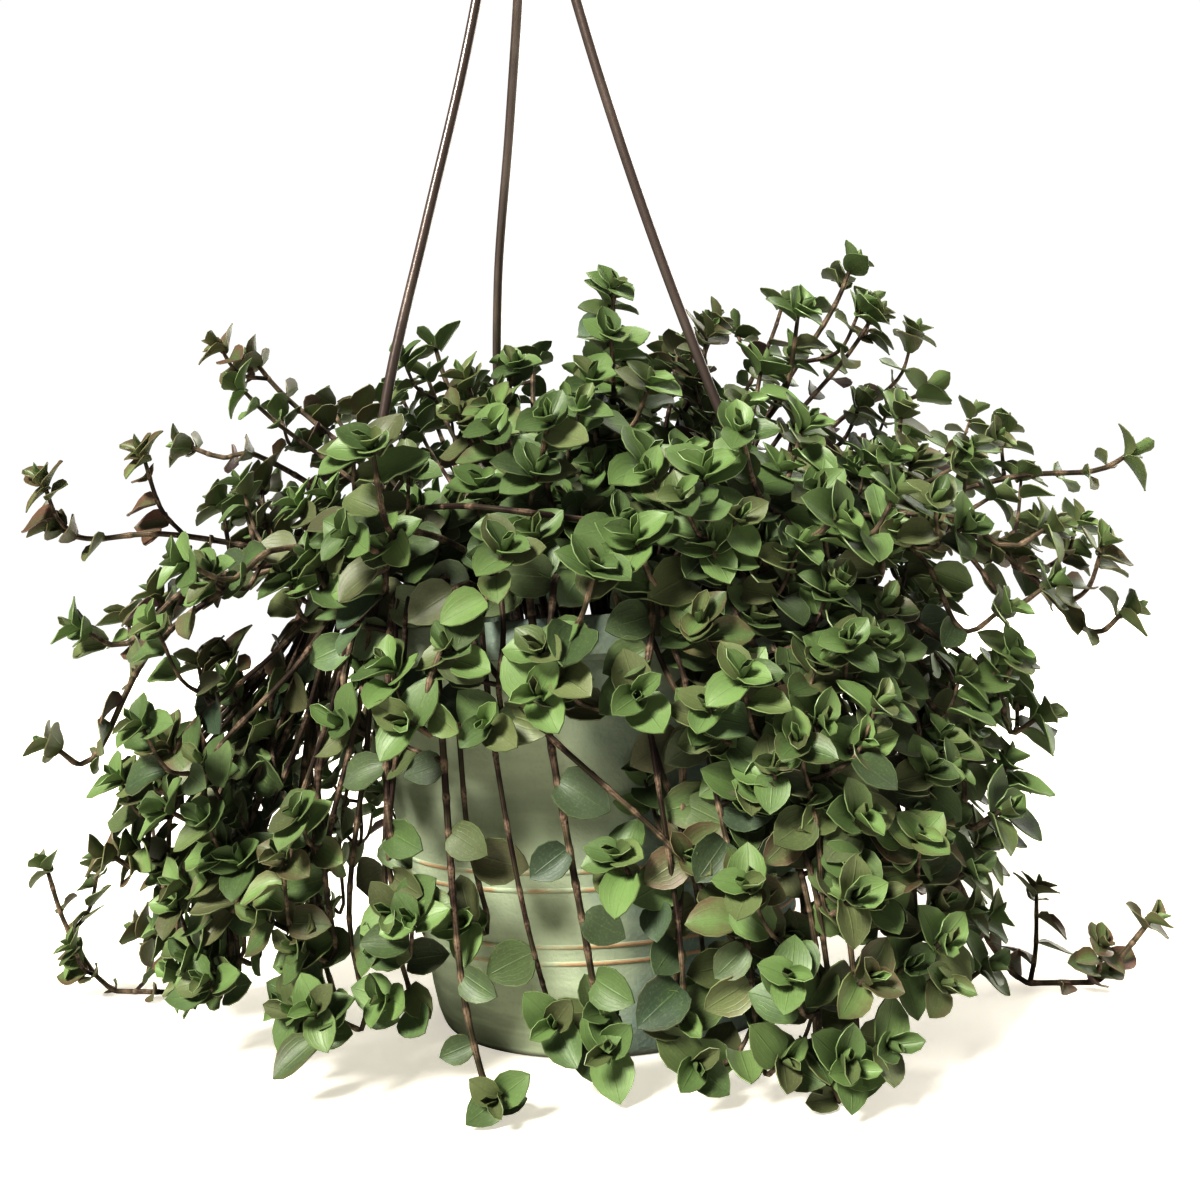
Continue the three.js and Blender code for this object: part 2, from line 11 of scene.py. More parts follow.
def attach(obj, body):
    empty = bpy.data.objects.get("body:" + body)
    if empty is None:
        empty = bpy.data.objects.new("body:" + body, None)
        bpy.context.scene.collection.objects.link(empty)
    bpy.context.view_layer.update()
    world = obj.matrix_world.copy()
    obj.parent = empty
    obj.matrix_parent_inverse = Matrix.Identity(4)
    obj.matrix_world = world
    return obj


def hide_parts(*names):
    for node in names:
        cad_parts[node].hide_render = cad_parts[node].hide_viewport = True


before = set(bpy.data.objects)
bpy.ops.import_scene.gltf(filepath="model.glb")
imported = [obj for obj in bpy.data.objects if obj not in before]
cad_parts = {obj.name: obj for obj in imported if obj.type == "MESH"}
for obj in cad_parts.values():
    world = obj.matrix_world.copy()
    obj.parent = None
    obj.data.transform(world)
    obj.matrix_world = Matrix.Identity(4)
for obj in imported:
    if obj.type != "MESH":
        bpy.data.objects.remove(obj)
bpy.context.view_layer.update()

bl_info = {
    "name": "Potted turtle vine",
    "version": (1, 0, 0),
    "blender": (4, 5, 0),
    "location": "View3D > Sidebar > Plant",
    "description": "Builds a hanging pot with a turtle vine and the studio it stands in",
    "category": "Add Mesh",
}

# The part's own measures, in millimetres and degrees. The pot's axis is Z and its front is -Y.
MM = 0.001
POT_HEIGHT = 122
RIM_RADIUS = 77.5
BAND_PROUD = 3
BAND_HEIGHT = 11.7
BASE_RADIUS = 54.1
STEP_BELOW_RIM = 22.4
STEP_PROUD = 0.8
WALL = 1.8
FLOOR = 2.6
DRAIN_HOLES = 6
DRAIN_CIRCLE = 36
DRAIN_RADIUS = 4
RINGS = (53.5, 48.5, 32.5, 27.7)
SOIL_TOP = 110
ROD_RADIUS = 1.6
CLIP_RADIUS = 67.8
LUG = {"width": 11, "inner": 64, "outer": 73.2, "bottom": 117.2, "top": 120.6, "hole": 2.15}
BUTTON = {"radius": 2.6, "height": 4}
HUB = {"x": -5, "y": -15, "bottom": 353, "top": 367, "radius": 8.5, "circle": 5, "rod_end": 360}
HOOK = {"radius": 12, "centre": 398, "thickness": 2.2, "neck": 375}
RODS = {
    "rod_left": {"azimuth": 200, "bow": 8.7, "sway": 1.9, "skew": 3},
    "rod_right": {"azimuth": 343.4, "bow": -5.9, "sway": -0.4, "skew": 1},
    "rod_back": {"azimuth": 97.4, "bow": 20.9, "sway": 17.2, "skew": 2},
}
ROOT_DEPTH = 8
TABLE_CLEARANCE = 1.5
INTERNODE = 17
SHOOT_LENGTH = (24, 40)
LEAF_LENGTH = 15
STEM_SPACING = 4.6
SEED = 20261
SWAYS = (0, 4, -4, 8, -8, 12, -12, 16, -16, 20, -20)

# How finely the pieces are made, how sharp an edge has to be to stay crisp, how many crumbs lie on
# the soil and which share of them is pale grit.
POT_STEPS = 144
SOIL_STEPS = 110
HUB_STEPS = 64
SMALL_STEPS = 24
WIRE_SIDES = 16
STEM_SIDES = 6
CRISP_POT = math.radians(38)
CRISP_WIRE = math.radians(40)
CRISP_LEAF = 1.1
CRUMBS = 900
GRIT_SHARE = 0.07

# How thick the part's stems and the slimmer ones are at their base, in millimetres, and their age at
# the base and at the tip: 1 is old, 0 is young. Side shoots and twigs start younger.
STEM_RADIUS = 1.12
SLIM_RADIUS = 0.92
STEM_AGES = (0.95, 0.08)
SLIM_AGES = (0.95, 0.12)
SHOOT_AGE = 0.5
TWIG_AGE = 0.45

# Stems that reach further have no slimmer ones beside them. Those of high tips stay well below them,
# and none ends nearer to the pot's axis or to the table than this.
FURTHEST_WITH_MATES = 145
HIGH_TIP = SOIL_TOP + 40
LEAST_REACH = 12
LEAST_TIP = 6

# The stage: half the table's width, where the two lamps are and where they shine, in metres.
TABLE_REACH = 6
KEY_PLACE = (-0.85, -1.05, 1.35)
REAR_PLACE = (0.8, 1.3, 0.85)
REAR_SOFTNESS = math.radians(70)
LIT_PLACE = Vector((0, 0, 0.1))
GAMMA = 0.7

# Each stem: the azimuth of its root, the azimuth of its tip, the tip's reach and height.
CROWN = (
    (350, 350, 14, 222), (16, 17, 104, 236), (150, 146, 56, 219), (168, 165, 112, 217),
    (38, 30, 58, 220), (215, 205, 36, 197), (78, 72, 62, 221), (118, 108, 42, 213),
    (285, 278, 38, 190), (252, 250, 64, 174), (315, 318, 64, 178), (55, 62, 100, 210),
    (130, 124, 96, 204),
)
ARCH = (
    (184, 180, 168, 162), (174, 171, 132, 188), (200, 197, 150, 128), (191, 186, 166, 94),
    (2, 0, 178, 162), (24, 27, 152, 199), (346, 352, 164, 112), (333, 338, 140, 138),
    (219, 214, 126, 143), (46, 45, 150, 150), (68, 71, 142, 162), (93, 96, 132, 168),
    (116, 121, 142, 148), (141, 144, 152, 160), (303, 305, 110, 142), (238, 236, 104, 146),
)
SPILL = (
    (265, 262, 98, 104), (281, 276, 98, 102), (246, 243, 101, 99), (232, 235, 94, 50),
    (258, 268, 86, 14), (290, 280, 90, 22), (298, 301, 117, 70), (316, 314, 118, 34),
    (325, 329, 124, 62), (332, 343, 134, 84), (12, 10, 132, 56), (30, 27, 136, 84),
    (54, 58, 132, 40), (82, 85, 126, 72), (104, 107, 122, 32), (131, 134, 132, 62),
    (155, 158, 146, 38), (181, 177, 150, 30), (208, 205, 126, 36), (222, 224, 94, 98),
    (195, 192, 148, 62),
)
RUNNER = ((168, 166, 206, 46), (354, 350, 163, 20), (303, 297, 118, 12), (240, 252, 98, 7))

# Slimmer stems that hang between the part's own, each in the piece of the nearest one.
CURTAIN = (
    (288, 291, 108, 14), (293, 296, 118, 15), (296, 300, 118, 32), (298, 302, 120, 16),
    (302, 306, 112, 46), (306, 309, 114, 30), (308, 315, 114, 58), (312, 317, 114, 42),
    (310, 314, 118, 24), (318, 327, 116, 47), (322, 332, 116, 18), (326, 330, 112, 34),
    (300, 298, 120, 52), (316, 324, 114, 74), (330, 336, 116, 50), (334, 342, 116, 26),
    (350, 348, 116, 44), (353, 354, 114, 62), (0, 2, 116, 30), (6, 8, 116, 46),
    (15, 16, 118, 40), (22, 24, 120, 24), (350, 350, 120, 84), (336, 332, 116, 78),
    (10, 4, 122, 80), (292, 290, 102, 78), (296, 300, 108, 92), (306, 304, 112, 86),
    (282, 286, 96, 94), (60, 62, 116, 30), (75, 78, 114, 52), (88, 98, 108, 26),
    (112, 116, 114, 54), (125, 128, 116, 30), (140, 142, 126, 46), (40, 42, 122, 34),
    (145, 148, 124, 24), (50, 46, 126, 60), (68, 70, 120, 72), (92, 88, 118, 90),
    (108, 110, 118, 76), (122, 124, 126, 80), (138, 136, 132, 92), (20, 14, 124, 96),
    (34, 36, 130, 52),
)
# Stems at the left that are bare for most of their way, and cross each other.
BUNDLE = (
    (214, 196, 138, 84), (196, 190, 142, 62), (198, 205, 128, 56), (190, 184, 138, 34),
    (214, 203, 118, 36), (208, 197, 130, 28), (186, 178, 134, 20), (204, 212, 104, 22),
    (186, 198, 116, 70), (212, 193, 124, 36), (182, 174, 136, 44), (202, 210, 98, 36),
    (206, 214, 100, 18), (222, 209, 96, 60), (222, 215, 112, 48), (212, 205, 124, 32),
    (218, 206, 132, 78), (226, 219, 106, 40), (200, 216, 106, 22), (226, 219, 98, 20),
    (194, 194, 128, 22), (188, 186, 134, 44), (176, 174, 138, 24), (168, 166, 136, 52),
    (185, 183, 124, 28), (192, 190, 138, 76), (180, 178, 140, 88), (172, 168, 130, 34),
    (160, 158, 128, 26), (216, 199, 106, 94), (178, 190, 108, 96), (234, 229, 92, 26),
)
# Nearly bare stems that cross the pot's front.
FRONT = (
    (240, 243, 82, 45), (250, 259, 84, 20), (232, 295, 98, 40), (272, 289, 88, 32),
    (276, 281, 96, 12), (306, 282, 94, 62), (254, 253, 92, 97), (276, 291, 96, 72),
    (310, 288, 96, 88), (236, 230, 94, 40),
)
# Slimmer stems that reach out over the right side.
FAN = (
    (350, 355, 152, 132), (342, 346, 140, 122), (6, 8, 150, 142), (336, 331, 128, 116),
    (14, 16, 142, 160), (358, 0, 134, 170), (348, 350, 128, 150), (20, 22, 128, 180),
    (340, 338, 118, 158), (330, 326, 112, 140), (2, 4, 118, 120),
)
GROUPS = (
    ("spilling_stem", CURTAIN, {"bare": 0.42, "extra": 0.4, "fill": 0.3}),
    ("spilling_stem", BUNDLE, {"bare": 0.64, "extra": 0.3, "fill": 0.18}),
    ("spilling_stem", FRONT, {"bare": 0.7, "extra": 0.15, "fill": 0.1}),
    ("arching_stem", FAN, {"bare": 0.35, "extra": 0.45, "fill": 0.3}),
)
# Stems that hang in front of the pot with few leaves.
SPARSE = {"bare": 0.3, "extra": 0.05, "fill": 0.05}
SPARSE_STEMS = ("spilling_stem_4", "spilling_stem_5", "spilling_stem_6", "running_stem_4")


def shade(code):
    """The linear colour of a six-figure web code."""
    parts = [int(code[place : place + 2], 16) / 255 for place in (0, 2, 4)]
    return tuple(part / 12.92 if part < 0.04045 else ((part + 0.055) / 1.055) ** 2.4 for part in parts)


# Tints that nobody would want to change, beside the colours in the settings.
TINTS = {
    # The foot tint is painted shadow round the bottom edge of the pot's wall.
    "streak": shade("8d9f88"), "speckle": shade("c3cdb8"), "foot": shade("4c4038"),
    "dust": shade("6d6a55"), "wet_soil": shade("1c130e"), "fibre": shade("6a513c"),
    "pale_grit": shade("d8d3c6"), "dull_grit": shade("a79f8f"), "shade_leaf": shade("36442e"),
    "olive_leaf": shade("766c55"), "pale_under": shade("7f8f66"), "stem_stripe": shade("3a2824"),
    "table_glow": shade("fff9ef"), "table_pale": shade("f5f1ea"), "lamp": shade("fffdf9"),
}


# Kinds of settings, each with its name in the panel, its tooltip and its usual value.
def number_property(name, description, value, **more):
    return bpy.props.FloatProperty(name=name, description=description, default=value, **more)


def length_property(name, description, millimetres):
    return number_property(name, description, millimetres * MM, unit="LENGTH")


def angle_property(name, description, radians):
    return number_property(name, description, radians, subtype="ANGLE")


def share_property(name, description, value):
    return number_property(name, description, value, subtype="FACTOR", min=0, max=1)


def colour_property(name, description, code):
    return bpy.props.FloatVectorProperty(
        name=name, description=description, default=shade(code), subtype="COLOR", size=3, min=0, max=1
    )


class VinePotSettings(bpy.types.PropertyGroup):
    """Sizes and colours of the pot and its soil."""

    ring_proud: length_property("Ring height", "How far the moulded rings stand proud of the wall", 0.45)
    ring_width: length_property("Ring width", "Width of a moulded ring", 1.5)
    crumb: length_property("Crumb", "Size of a crumb of soil", 2.4)
    wall_colour: colour_property("Wall", "Colour of the pot's wall", "d3ddc1")
    # Also painted shade: the wall takes on more of this colour towards its right side (+X).
    wall_cool_and_painted_shade: colour_property("Wall, cool patches", "Colour of the cooler patches", "75898a")
    wear_colour: colour_property("Worn edge", "Colour of a worn ring", "d8a67e")
    soil_colour: colour_property("Soil", "Colour of the soil", "33261d")


class VineHangerSettings(bpy.types.PropertyGroup):
    """Colours of the rods, hub and hook."""

    rod_colour: colour_property("Rod", "Colour of the hanger", "6a5e58")
    rod_worn: colour_property("Rod, worn", "Colour of the rubbed places", "93867c")
    roughness: share_property("Roughness", "Roughness of the hanger", 0.26)


class VineLeafSettings(bpy.types.PropertyGroup):
    """Sizes and colours of leaves and stems."""

    scale: share_property("Leaf scale", "How long each leaf is, against its usual length", 1.0)
    thickness: length_property("Leaf thickness", "Thickness of a leaf", 0.34)
    young_colour: colour_property("Young leaf", "Colour at a shoot's tip", "8ba36c")
    warm_colour: colour_property("Leaf, warm", "Colour of a grown leaf at its yellowest", "7e865d")
    cool_colour: colour_property("Leaf, cool", "Colour of a grown leaf at its bluest", "5e7261")
    old_colour: colour_property("Old leaf", "Colour of an old, dusty leaf", "8b917b")
    blush_colour: colour_property("Blush", "Colour of a leaf that has turned", "7b5c50")
    under_colour: colour_property("Underside", "Colour of a turned leaf's underside", "8e5f78")
    margin_colour: colour_property("Margin", "Colour of a leaf's thin margin", "9fb07c")
    stem_colour: colour_property("Stem", "Colour of a stem", "402f29")
    stem_green: colour_property("Stem, green", "Colour of a stem's greener side", "564f3b")
    sheath_colour: colour_property("Sheath", "Colour of the skin round a node", "b09a84")


class VineStageSettings(bpy.types.PropertyGroup):
    """The floor, the light and the camera."""

    floor_colour: colour_property("Floor", "Colour of the table", "dad7d0")
    floor_glow: share_property("Floor glow", "How light the camera sees the table's shadows", 0.66)
    sky: number_property("Sky", "Strength of the light from all round", 0.07)
    key: number_property("Key light", "Strength of the large lamp", 5.8)
    rear: number_property("Rear light", "Strength of the soft lamp behind", 4.4)
    softness: angle_property("Softness", "How wide the large lamp looks from the table", math.radians(17))
    camera_place: bpy.props.FloatVectorProperty(
        name="Camera", description="Where the camera stands", default=(-0.000977, -0.38818, 0.12229),
        subtype="XYZ",
    )
    camera_turn: angle_property("Turn", "The camera's turn to the left", -0.01309)
    camera_tilt: angle_property("Tilt", "The camera's tilt above the horizon", 0.01074)
    camera_roll: angle_property("Roll", "The camera's roll", -0.06945)
    lens: number_property("Lens", "Focal length on a 36 mm sensor", 36.4)


# Materials: sums on a value add the nodes that work them out.
class Level:
    """A socket that can be used in sums."""

    def __init__(self, paint, socket):
        self.paint = paint
        self.socket = socket

    def __add__(self, other):
        return self.paint.math("ADD", self, other)

    def __radd__(self, other):
        return self.paint.math("ADD", other, self)

    def __sub__(self, other):
        return self.paint.math("SUBTRACT", self, other)

    def __rsub__(self, other):
        return self.paint.math("SUBTRACT", other, self)

    def __mul__(self, other):
        return self.paint.math("MULTIPLY", self, other)

    def __rmul__(self, other):
        return self.paint.math("MULTIPLY", other, self)


class Paint:
    """A material in the making. Uniform values are set on the shader's own sockets."""

    def __init__(self, name, **uniform):
        self.material = bpy.data.materials.new(name)
        self.material.use_nodes = True
        self.tree = self.material.node_tree
        self.shader = self.tree.nodes["Principled BSDF"]
        for socket, value in uniform.items():
            self.shader.inputs[socket.replace("_", " ")].default_value = value

    def node(self, kind, settings=(), output=0, **sockets):
        """One node: its settings, then what its sockets hold. A socket is named or is s and its number."""
        node = self.tree.nodes.new(kind)
        for key, value in dict(settings).items():
            setattr(node, key, value)
        for key, value in sockets.items():
            numbered = key[0] == "s" and key[1:].isdigit()
            self.feed(node.inputs[int(key[1:]) if numbered else key.replace("_", " ")], value)
        return Level(self, node.outputs[output])

    def feed(self, socket, value):
        """Links a socket, or sets what it holds."""
        if isinstance(value, Level):
            self.tree.links.new(value.socket, socket)
        elif socket.type == "RGBA" and len(value) == 3:
            socket.default_value = (*value, 1)
        else:
            socket.default_value = value

    def math(self, operation, *values):
        """One step of a sum."""
        sockets = {f"s{place}": value for place, value in enumerate(values)}
        return self.node("ShaderNodeMath", {"operation": operation}, **sockets)

    def size_of(self, value):
        """The value without its sign."""
        return self.math("ABSOLUTE", value)

    def ramp(self, value, start, end, low=0, high=1):
        """low up to start, high from end, and a smooth rise between."""
        settings = {"interpolation_type": "SMOOTHSTEP"}
        return self.node("ShaderNodeMapRange", settings, s0=value, s1=start, s2=end, s3=low, s4=high)

    def blend(self, share, low, high):
        """A colour between two, by a share."""
        return self.node("ShaderNodeMix", {"data_type": "RGBA"}, output=2, s0=share, s6=low, s7=high)

    def over(self, colour, *layers):
        """A colour with others laid over it in turn, each by its share."""
        for share, tint in layers:
            colour = self.blend(share, colour, tint)
        return colour

    def coordinates(self):
        """X, Y and Z on the object, in metres."""
        place = self.node("ShaderNodeTexCoord", output=3)
        return [self.node("ShaderNodeSeparateXYZ", s0=place, output=axis) for axis in range(3)]

    def across(self):
        """The piece's own map: along a leaf or round a stem, and across it."""
        place = self.node("ShaderNodeTexCoord", output=2)
        return [self.node("ShaderNodeSeparateXYZ", s0=place, output=axis) for axis in range(2)]

    def attribute(self, name):
        """A value that each vertex of the piece has."""
        return self.node("ShaderNodeAttribute", {"attribute_name": name}, output=2)

    def grain(self, scale, detail=2, stretch=(1, 1, 1)):
        """Noise from 0 to 1 on object coordinates, with its scale per metre."""
        place = self.node("ShaderNodeTexCoord", output=3)
        place = self.node("ShaderNodeMapping", s0=place, s3=stretch)
        return self.node("ShaderNodeTexNoise", Vector=place, Scale=scale, Detail=detail, Roughness=0.5)

    def finish(self, colour, roughness=None, relief=None, depth=0.0):
        """The material with what varies over the surface. depth is the relief's height in metres."""
        self.feed(self.shader.inputs["Base Color"], colour)
        if roughness is not None:
            self.feed(self.shader.inputs["Roughness"], roughness)
        if relief is not None:
            bump = self.node("ShaderNodeBump", Strength=1.0, Distance=depth, Height=relief)
            self.feed(self.shader.inputs["Normal"], bump)
        return self.material


def wall_material(sizes):
    """Matte plastic with a fine grain, cooler patches, painted shade towards its right side and worn rings.
    """
    paint = Paint("pot_wall", Specular_IOR_Level=0.35)
    right, _, height = paint.coordinates()
    # Cooler patches: partly real mottling and partly painted shade, which grows towards +X, the side away
    # from the lamp.
    patches = paint.ramp(paint.grain(16, 4) + 3.5 * right, 0.42, 0.68)
    streaks = paint.grain(34, 3, (1, 1, 7))
    speckle = paint.grain(900, 2)
    near_ring = 0
    for ring in RINGS:
        reach = paint.size_of(height - ring * MM)
        near_ring = near_ring + paint.ramp(reach, 0.0002, 0.0008, 1, 0)
    worn = near_ring * paint.ramp(paint.grain(55, 3, (1, 1, 0.3)), 0.36, 0.5)
    # Painted shadow: a dark band round the bottom 2 mm of the wall, where the pot meets the table.
    foot = paint.ramp(height, 0.0004, 0.0022, 1, 0)
    dust = paint.ramp(height, 0.0, 0.03, 0.22, 0) * paint.ramp(streaks, 0.4, 0.6)
    colour = paint.over(
        sizes.wall_colour,
        (patches * 0.85, sizes.wall_cool_and_painted_shade),
        (paint.ramp(streaks, 0.35, 0.75) * 0.2, TINTS["streak"]),
        (paint.ramp(speckle, 0.5, 0.72) * 0.3, TINTS["speckle"]),
        (worn * 0.75, sizes.wear_colour),
        (foot * 0.75, TINTS["foot"]),
        (dust, TINTS["dust"]),
    )
    return paint.finish(colour, 0.62 + 0.2 * speckle, 1.4 * speckle + 0.5 * streaks, 0.00014)


def soil_material(sizes):
    """Dark, fibrous soil."""
    paint = Paint("soil", Roughness=1, Specular_IOR_Level=0.2)
    tone = paint.grain(260, 4)
    fibre = paint.grain(900, 3)
    colour = paint.over(
        sizes.soil_colour,
        (paint.ramp(tone, 0.3, 0.7), TINTS["wet_soil"]),
        (paint.ramp(fibre, 0.58, 0.72) * 0.6, TINTS["fibre"]),
    )
    return paint.finish(colour, None, tone + 0.5 * fibre, 0.0009)


def grit_material():
    """Pale mineral grains."""
    paint = Paint("soil_grit", Roughness=0.9)
    colour = paint.blend(paint.grain(700, 2), TINTS["pale_grit"], TINTS["dull_grit"])
    return paint.finish(colour)


def rod_material(colours):
    """Dark lacquered wire, rubbed here and there."""
    paint = Paint("hanger_lacquer", Metallic=0.25, Coat_Weight=0.5, Coat_Roughness=0.12)
    rubbed = paint.grain(60, 4, (1, 1, 0.25))
    fine = paint.grain(800, 2)
    colour = paint.blend(paint.ramp(rubbed, 0.45, 0.7) * 0.7, colours.rod_colour, colours.rod_worn)
    roughness = colours.roughness + 0.16 * fine
    return paint.finish(colour, roughness, 0.5 * fine + rubbed, 0.00008)


def leaf_material(colours):
    """Leaf skin by age and blush, with a pale margin, a midrib and fine veins."""
    paint = Paint("leaf_skin", Specular_IOR_Level=0.5)
    along, across = paint.across()
    age, blush, tone, under = (paint.attribute(name) for name in ("age", "blush", "tone", "under"))
    from_middle = paint.size_of(across - 0.5) * 2
    cloud = paint.grain(170, 3)
    speck = paint.grain(1500, 2)
    years = age + 0.35 * (cloud - 0.5)
    grown = paint.blend(tone, colours.warm_colour, colours.cool_colour)
    dim = paint.math("FRACT", tone * 7.31)
    olive = paint.ramp(paint.math("FRACT", tone * 13.7), 0.66, 0.82)
    turned = blush * (0.55 + 0.45 * from_middle + 0.6 * (cloud - 0.5))
    vein = paint.math("SINE", from_middle * 27)
    vein = paint.ramp(vein, 0.55, 1.0) * paint.ramp(from_middle, 0.05, 0.2) * paint.ramp(along, 0.98, 0.7)
    midrib = paint.ramp(from_middle, 0.01, 0.06, 1, 0)
    upper = paint.over(
        colours.young_colour,
        (paint.ramp(years, 0.12, 0.5), grown),
        (paint.ramp(years, 0.55, 0.95) * 0.8, colours.old_colour),
        (dim * 0.62, TINTS["shade_leaf"]),
        (olive * 0.5, TINTS["olive_leaf"]),
        (paint.ramp(turned, 0.25, 0.75), colours.blush_colour),
        (paint.ramp(speck, 0.5, 0.75) * 0.16, colours.margin_colour),
        (vein * 0.04, colours.margin_colour),
        (midrib * 0.12, colours.margin_colour),
    )
    violet = under * paint.ramp(blush + paint.ramp(tone, 0.8, 0.9) + 0.5 * cloud, 0.75, 1.1)
    violet = violet * paint.ramp(age, 0.12, 0.3)
    margin = paint.ramp(from_middle, 0.93, 0.985)
    colour = paint.over(
        upper,
        (under, paint.blend(0.4, upper, TINTS["pale_under"])),
        (violet * 0.75, colours.under_colour),
        (margin * 0.18, colours.margin_colour),
    )
    roughness = 0.36 + 0.16 * cloud + 0.1 * age
    relief = 0.5 * midrib + 0.15 * vein + 0.4 * cloud
    return paint.finish(colour, roughness, relief, 0.00015)


def stem_material(colours):
    """Brown stems, greener and striped in places, with pale sheaths at the nodes."""
    paint = Paint("stem_bark", Specular_IOR_Level=0.4)
    turn = paint.across()[1]
    patches = paint.grain(90, 3)
    fine = paint.grain(1200, 2)
    green = paint.ramp(patches - 0.35 * paint.attribute("age"), 0.22, 0.5)
    stripes = paint.ramp(paint.math("SINE", turn * 50.3), 0.2, 0.9)
    skin = paint.attribute("sheath") * paint.ramp(fine + 0.6 * patches, 0.45, 0.95)
    colour = paint.over(
        colours.stem_colour,
        (green, colours.stem_green),
        (stripes * 0.3, TINTS["stem_stripe"]),
        (skin * 0.9, colours.sheath_colour),
    )
    return paint.finish(colour, 0.5 + 0.25 * fine, stripes + fine, 0.00015)


def floor_material(stage):
    """A pale table, which glows a little for the camera so that its shadows stay light."""
    paint = Paint("table", Specular_IOR_Level=0.15, Emission_Color=(*TINTS["table_glow"], 1))
    seen = paint.node("ShaderNodeLightPath") * stage.floor_glow
    paint.feed(paint.shader.inputs["Emission Strength"], seen)
    mottle = paint.grain(3, 2)
    colour = paint.blend(mottle * 0.3, stage.floor_colour, TINTS["table_pale"])
    return paint.finish(colour, 0.85 + 0.1 * mottle)


# Pieces.
def mesh_from(shape, name):
    """The smooth mesh of a bmesh, which is used up."""
    mesh = bpy.data.meshes.new(name)
    for face in shape.faces:
        face.smooth = True
    shape.to_mesh(mesh)
    shape.free()
    return mesh


def to_object(shape, name, *materials):
    """The object of a bmesh, which is used up."""
    mesh = mesh_from(shape, name)
    for material in materials:
        mesh.materials.append(material)
    made = bpy.data.objects.new(name, mesh)
    bpy.context.scene.collection.objects.link(made)
    return made


def as_piece(made, slot, *nodes):
    """The piece rides on the part's one body and stands for these nodes."""
    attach(made, "root")
    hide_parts(*nodes)


def moved(shape, place):
    """A bmesh after a move in millimetres."""
    bmesh.ops.translate(shape, vec=Vector(place) * MM, verts=shape.verts)
    return shape


def turned(profile, steps):
    """A closed solid of revolution from (radius, height) in millimetres."""
    shape = bmesh.new()
    verts = [shape.verts.new((radius * MM, 0, height * MM)) for radius, height in profile]
    edges = [shape.edges.new(pair) for pair in zip(verts, verts[1:])]
    bmesh.ops.spin(
        shape, geom=verts + edges, axis=(0, 0, 1), cent=(0, 0, 0), angle=math.tau, steps=steps, use_merge=True
    )
    bmesh.ops.remove_doubles(shape, verts=shape.verts, dist=1e-6)
    bmesh.ops.recalc_face_normals(shape, faces=shape.faces)
    return shape


def soften(shape, width):
    """Rounds the sharp edges of a block."""
    bmesh.ops.bevel(
        shape, geom=shape.edges[:], offset=width * MM, offset_type="OFFSET", segments=2, profile=0.5,
        affect="EDGES", clamp_overlap=True, material=-1,
    )


def combine(body, other, operation):
    """Boolean of two objects; the second is used up."""
    modifier = body.modifiers.new("combine", "BOOLEAN")
    modifier.operation = operation
    modifier.solver = "EXACT"
    modifier.object = other
    bpy.context.view_layer.update()
    evaluated = body.evaluated_get(bpy.context.evaluated_depsgraph_get())
    mesh = bpy.data.meshes.new_from_object(evaluated)
    body.modifiers.clear()
    body.data = mesh
    bpy.data.objects.remove(other)


def square_to(points):
    """At each point of a line, two directions square to it that don't twist."""
    along = np.gradient(points, axis=0)
    along /= np.linalg.norm(along, axis=1)[:, None]
    start = np.array([0.0, 0.0, 1.0]) if abs(along[0][2]) < 0.9 else np.array([1.0, 0.0, 0.0])
    first = []
    for way in along:
        start = square_part(start, way)
        first.append(start)
    first = np.array(first)
    return first, np.cross(along, first)


def tube(points, radii, sides, values=()):
    """A tube through points in millimetres, rolled up from a grid. A radius of zero closes an end."""
    shape = bmesh.new()
    shape.loops.layers.uv.new("UVMap")
    layers = {name: shape.verts.layers.float.new(name) for name in LEAF_LAYERS}
    rows = len(points) - 1
    bmesh.ops.create_grid(shape, x_segments=rows, y_segments=sides, size=0.5, calc_uvs=True)
    first, second = square_to(points)
    for vert in shape.verts:
        row = round((vert.co.x + 0.5) * rows)
        turn = math.tau * round((vert.co.y + 0.5) * sides) / sides
        place = points[row] + radii[row] * (math.cos(turn) * first[row] + math.sin(turn) * second[row])
        vert.co = place * MM
        for name, along in dict(values).items():
            vert[layers[name]] = along[row]
    bmesh.ops.remove_doubles(shape, verts=shape.verts, dist=1e-6)
    bmesh.ops.recalc_face_normals(shape, faces=shape.faces)
    return shape


def body_radius(height):
    """The outside of the pot's tapered wall at a height."""
    return BASE_RADIUS + (RIM_RADIUS - BAND_PROUD - BASE_RADIUS) * height / POT_HEIGHT


def ring_profile(height, proud, width):
    """A low rounded ring on the wall."""
    section = []
    for share, lift in ((-0.5, 0), (-0.28, 0.75), (0, 1), (0.28, 0.75), (0.5, 0)):
        place = height + share * width
        section.append((body_radius(place) + lift * proud, place))
    return section


